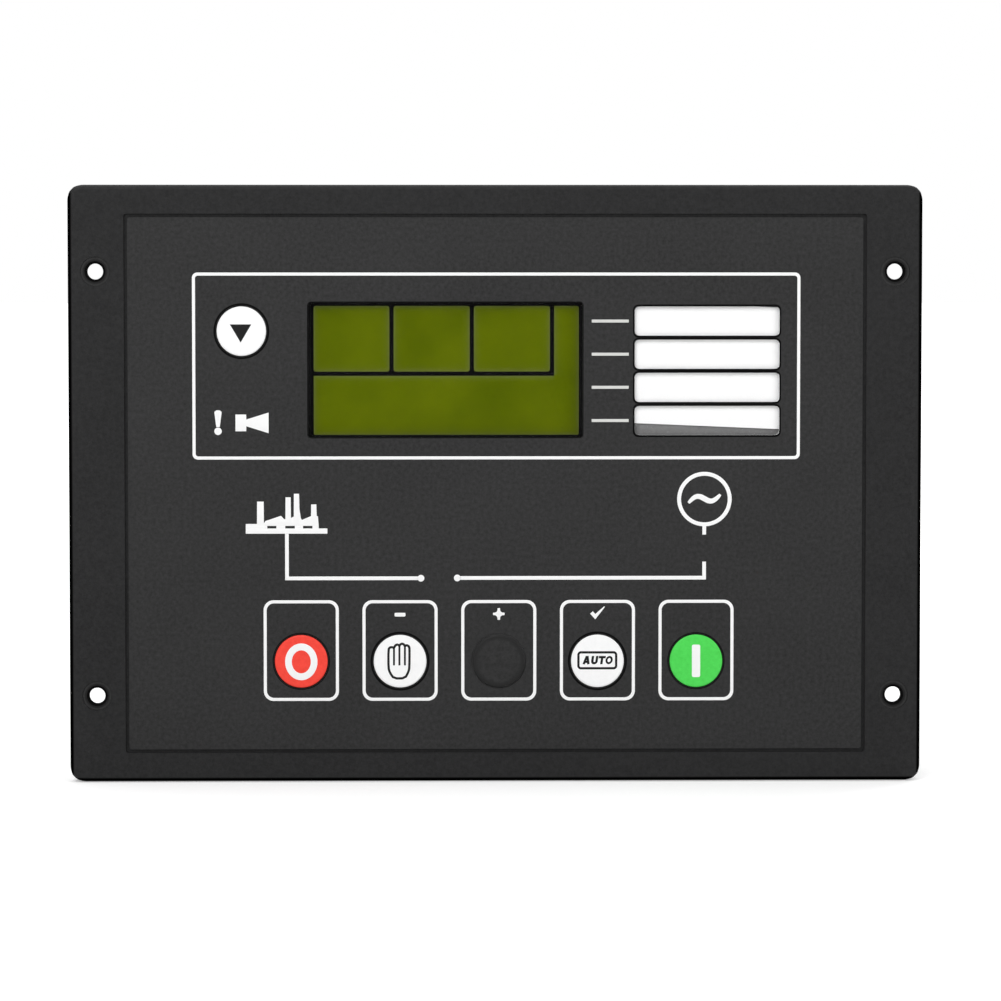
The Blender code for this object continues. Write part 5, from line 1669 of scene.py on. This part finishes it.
def housing_screws():
    """Pan-head screws with a cross recess.

    P(u, v): rings run from the shank up over the head to a cross-shaped rim and down
    into the recess; the cross is the larger of two bars seen at each angle.
    """
    angle = np.linspace(0, math.tau, ROUND_STEPS, endpoint=False)
    c, s = np.abs(np.cos(angle)), np.abs(np.sin(angle))
    arm, half_slot = 1.5, 0.38
    cross = np.maximum(
        np.minimum(arm / np.maximum(c, 1e-6), half_slot / np.maximum(s, 1e-6)),
        np.minimum(arm / np.maximum(s, 1e-6), half_slot / np.maximum(c, 1e-6)),
    )
    one = np.ones_like(angle)
    for number in range(1, 5):
        node = f"housing_screw_{number}"
        low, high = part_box(node)
        centre = middle(node)
        tip, seat, top = low.y / MM, high.y / MM - 2.0, high.y / MM
        rings = [
            (0.75 * one, tip), (1.5 * one, tip + 0.8), (1.5 * one, seat), (2.7 * one, seat),
            (2.8 * one, seat + 0.1), (2.8 * one, seat + 0.75), (2.7 * one, seat + 1.15),
            (2.4 * one, seat + 1.55), (1.95 * one, seat + 1.82), (cross + 0.06, top - 0.02),
            (cross, top - 0.08), (cross * 0.72, top - 1.1), (0.15 * one, top - 1.45),
        ]
        radius = np.array([r for r, _ in rings]) * MM
        depth = np.array([d for _, d in rings])[:, None] * MM
        grid = np.stack(
            [
                centre.x + radius * np.cos(angle),
                np.broadcast_to(depth, radius.shape),
                centre.z + radius * np.sin(angle),
            ],
            axis=-1,
        )
        screw = new_piece(
            f"cross_screw_{number}", [surface(grid)], STEEL, "controller", smooth=40
        )
        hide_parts(node)


def socket_contacts():
    """Eight sprung gold contacts that slope up inside the mouth of the computer socket."""
    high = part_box("pc_socket")[1]
    centre = middle("pc_socket")
    floor = centre.z - 3.25 * MM
    t = np.linspace(0, 1, 16)
    y = high.y - 1.2 * MM - t * 7.6 * MM
    z = floor + 0.12 * MM + 2.3 * MM * np.sin(np.minimum(t * 1.25, 1) * math.pi / 2) ** 1.5
    parts = []
    for number in range(CONTACTS):
        x = centre.x + (number - (CONTACTS - 1) / 2) * CONTACT_PITCH
        path = np.stack([np.full_like(t, x), y, z], axis=-1)
        parts.append(tube(path, CONTACT_RADIUS, 8))
    new_piece("socket_contacts", parts, GOLD, "controller", smooth=60)


def wire_clamps():
    """A steel clamp in each wire entry: a plate across the far end of the square hole."""
    parts = []
    for name, poles, pitch in TERMINALS:
        _, high, row, places = pole_places(name, poles, pitch)
        entry_z = middle(f"header_{name}").z + row * 1.2 * MM
        deep = high.y - 4.45 * MM
        for place in places:
            outer = rounded_rectangle((place, entry_z), 3.3 * MM, 3.5 * MM, 0.2 * MM, 2)
            inner = rounded_rectangle((place, entry_z), 2.5 * MM, 2.6 * MM, 0.3 * MM, 2)
            rings = [(outer, deep), (outer, deep + 1.6 * MM), (inner, deep + 1.6 * MM), (inner, deep)]
            grid = np.stack(
                [np.column_stack([p[:, 0], np.full(len(p), y), p[:, 1]]) for p, y in rings], axis=0
            )
            parts.append(surface(grid, closed=True))
    new_piece("wire_clamps", parts, STEEL, "controller", smooth=30)


clamp_screws()
housing_screws()
socket_contacts()
wire_clamps()
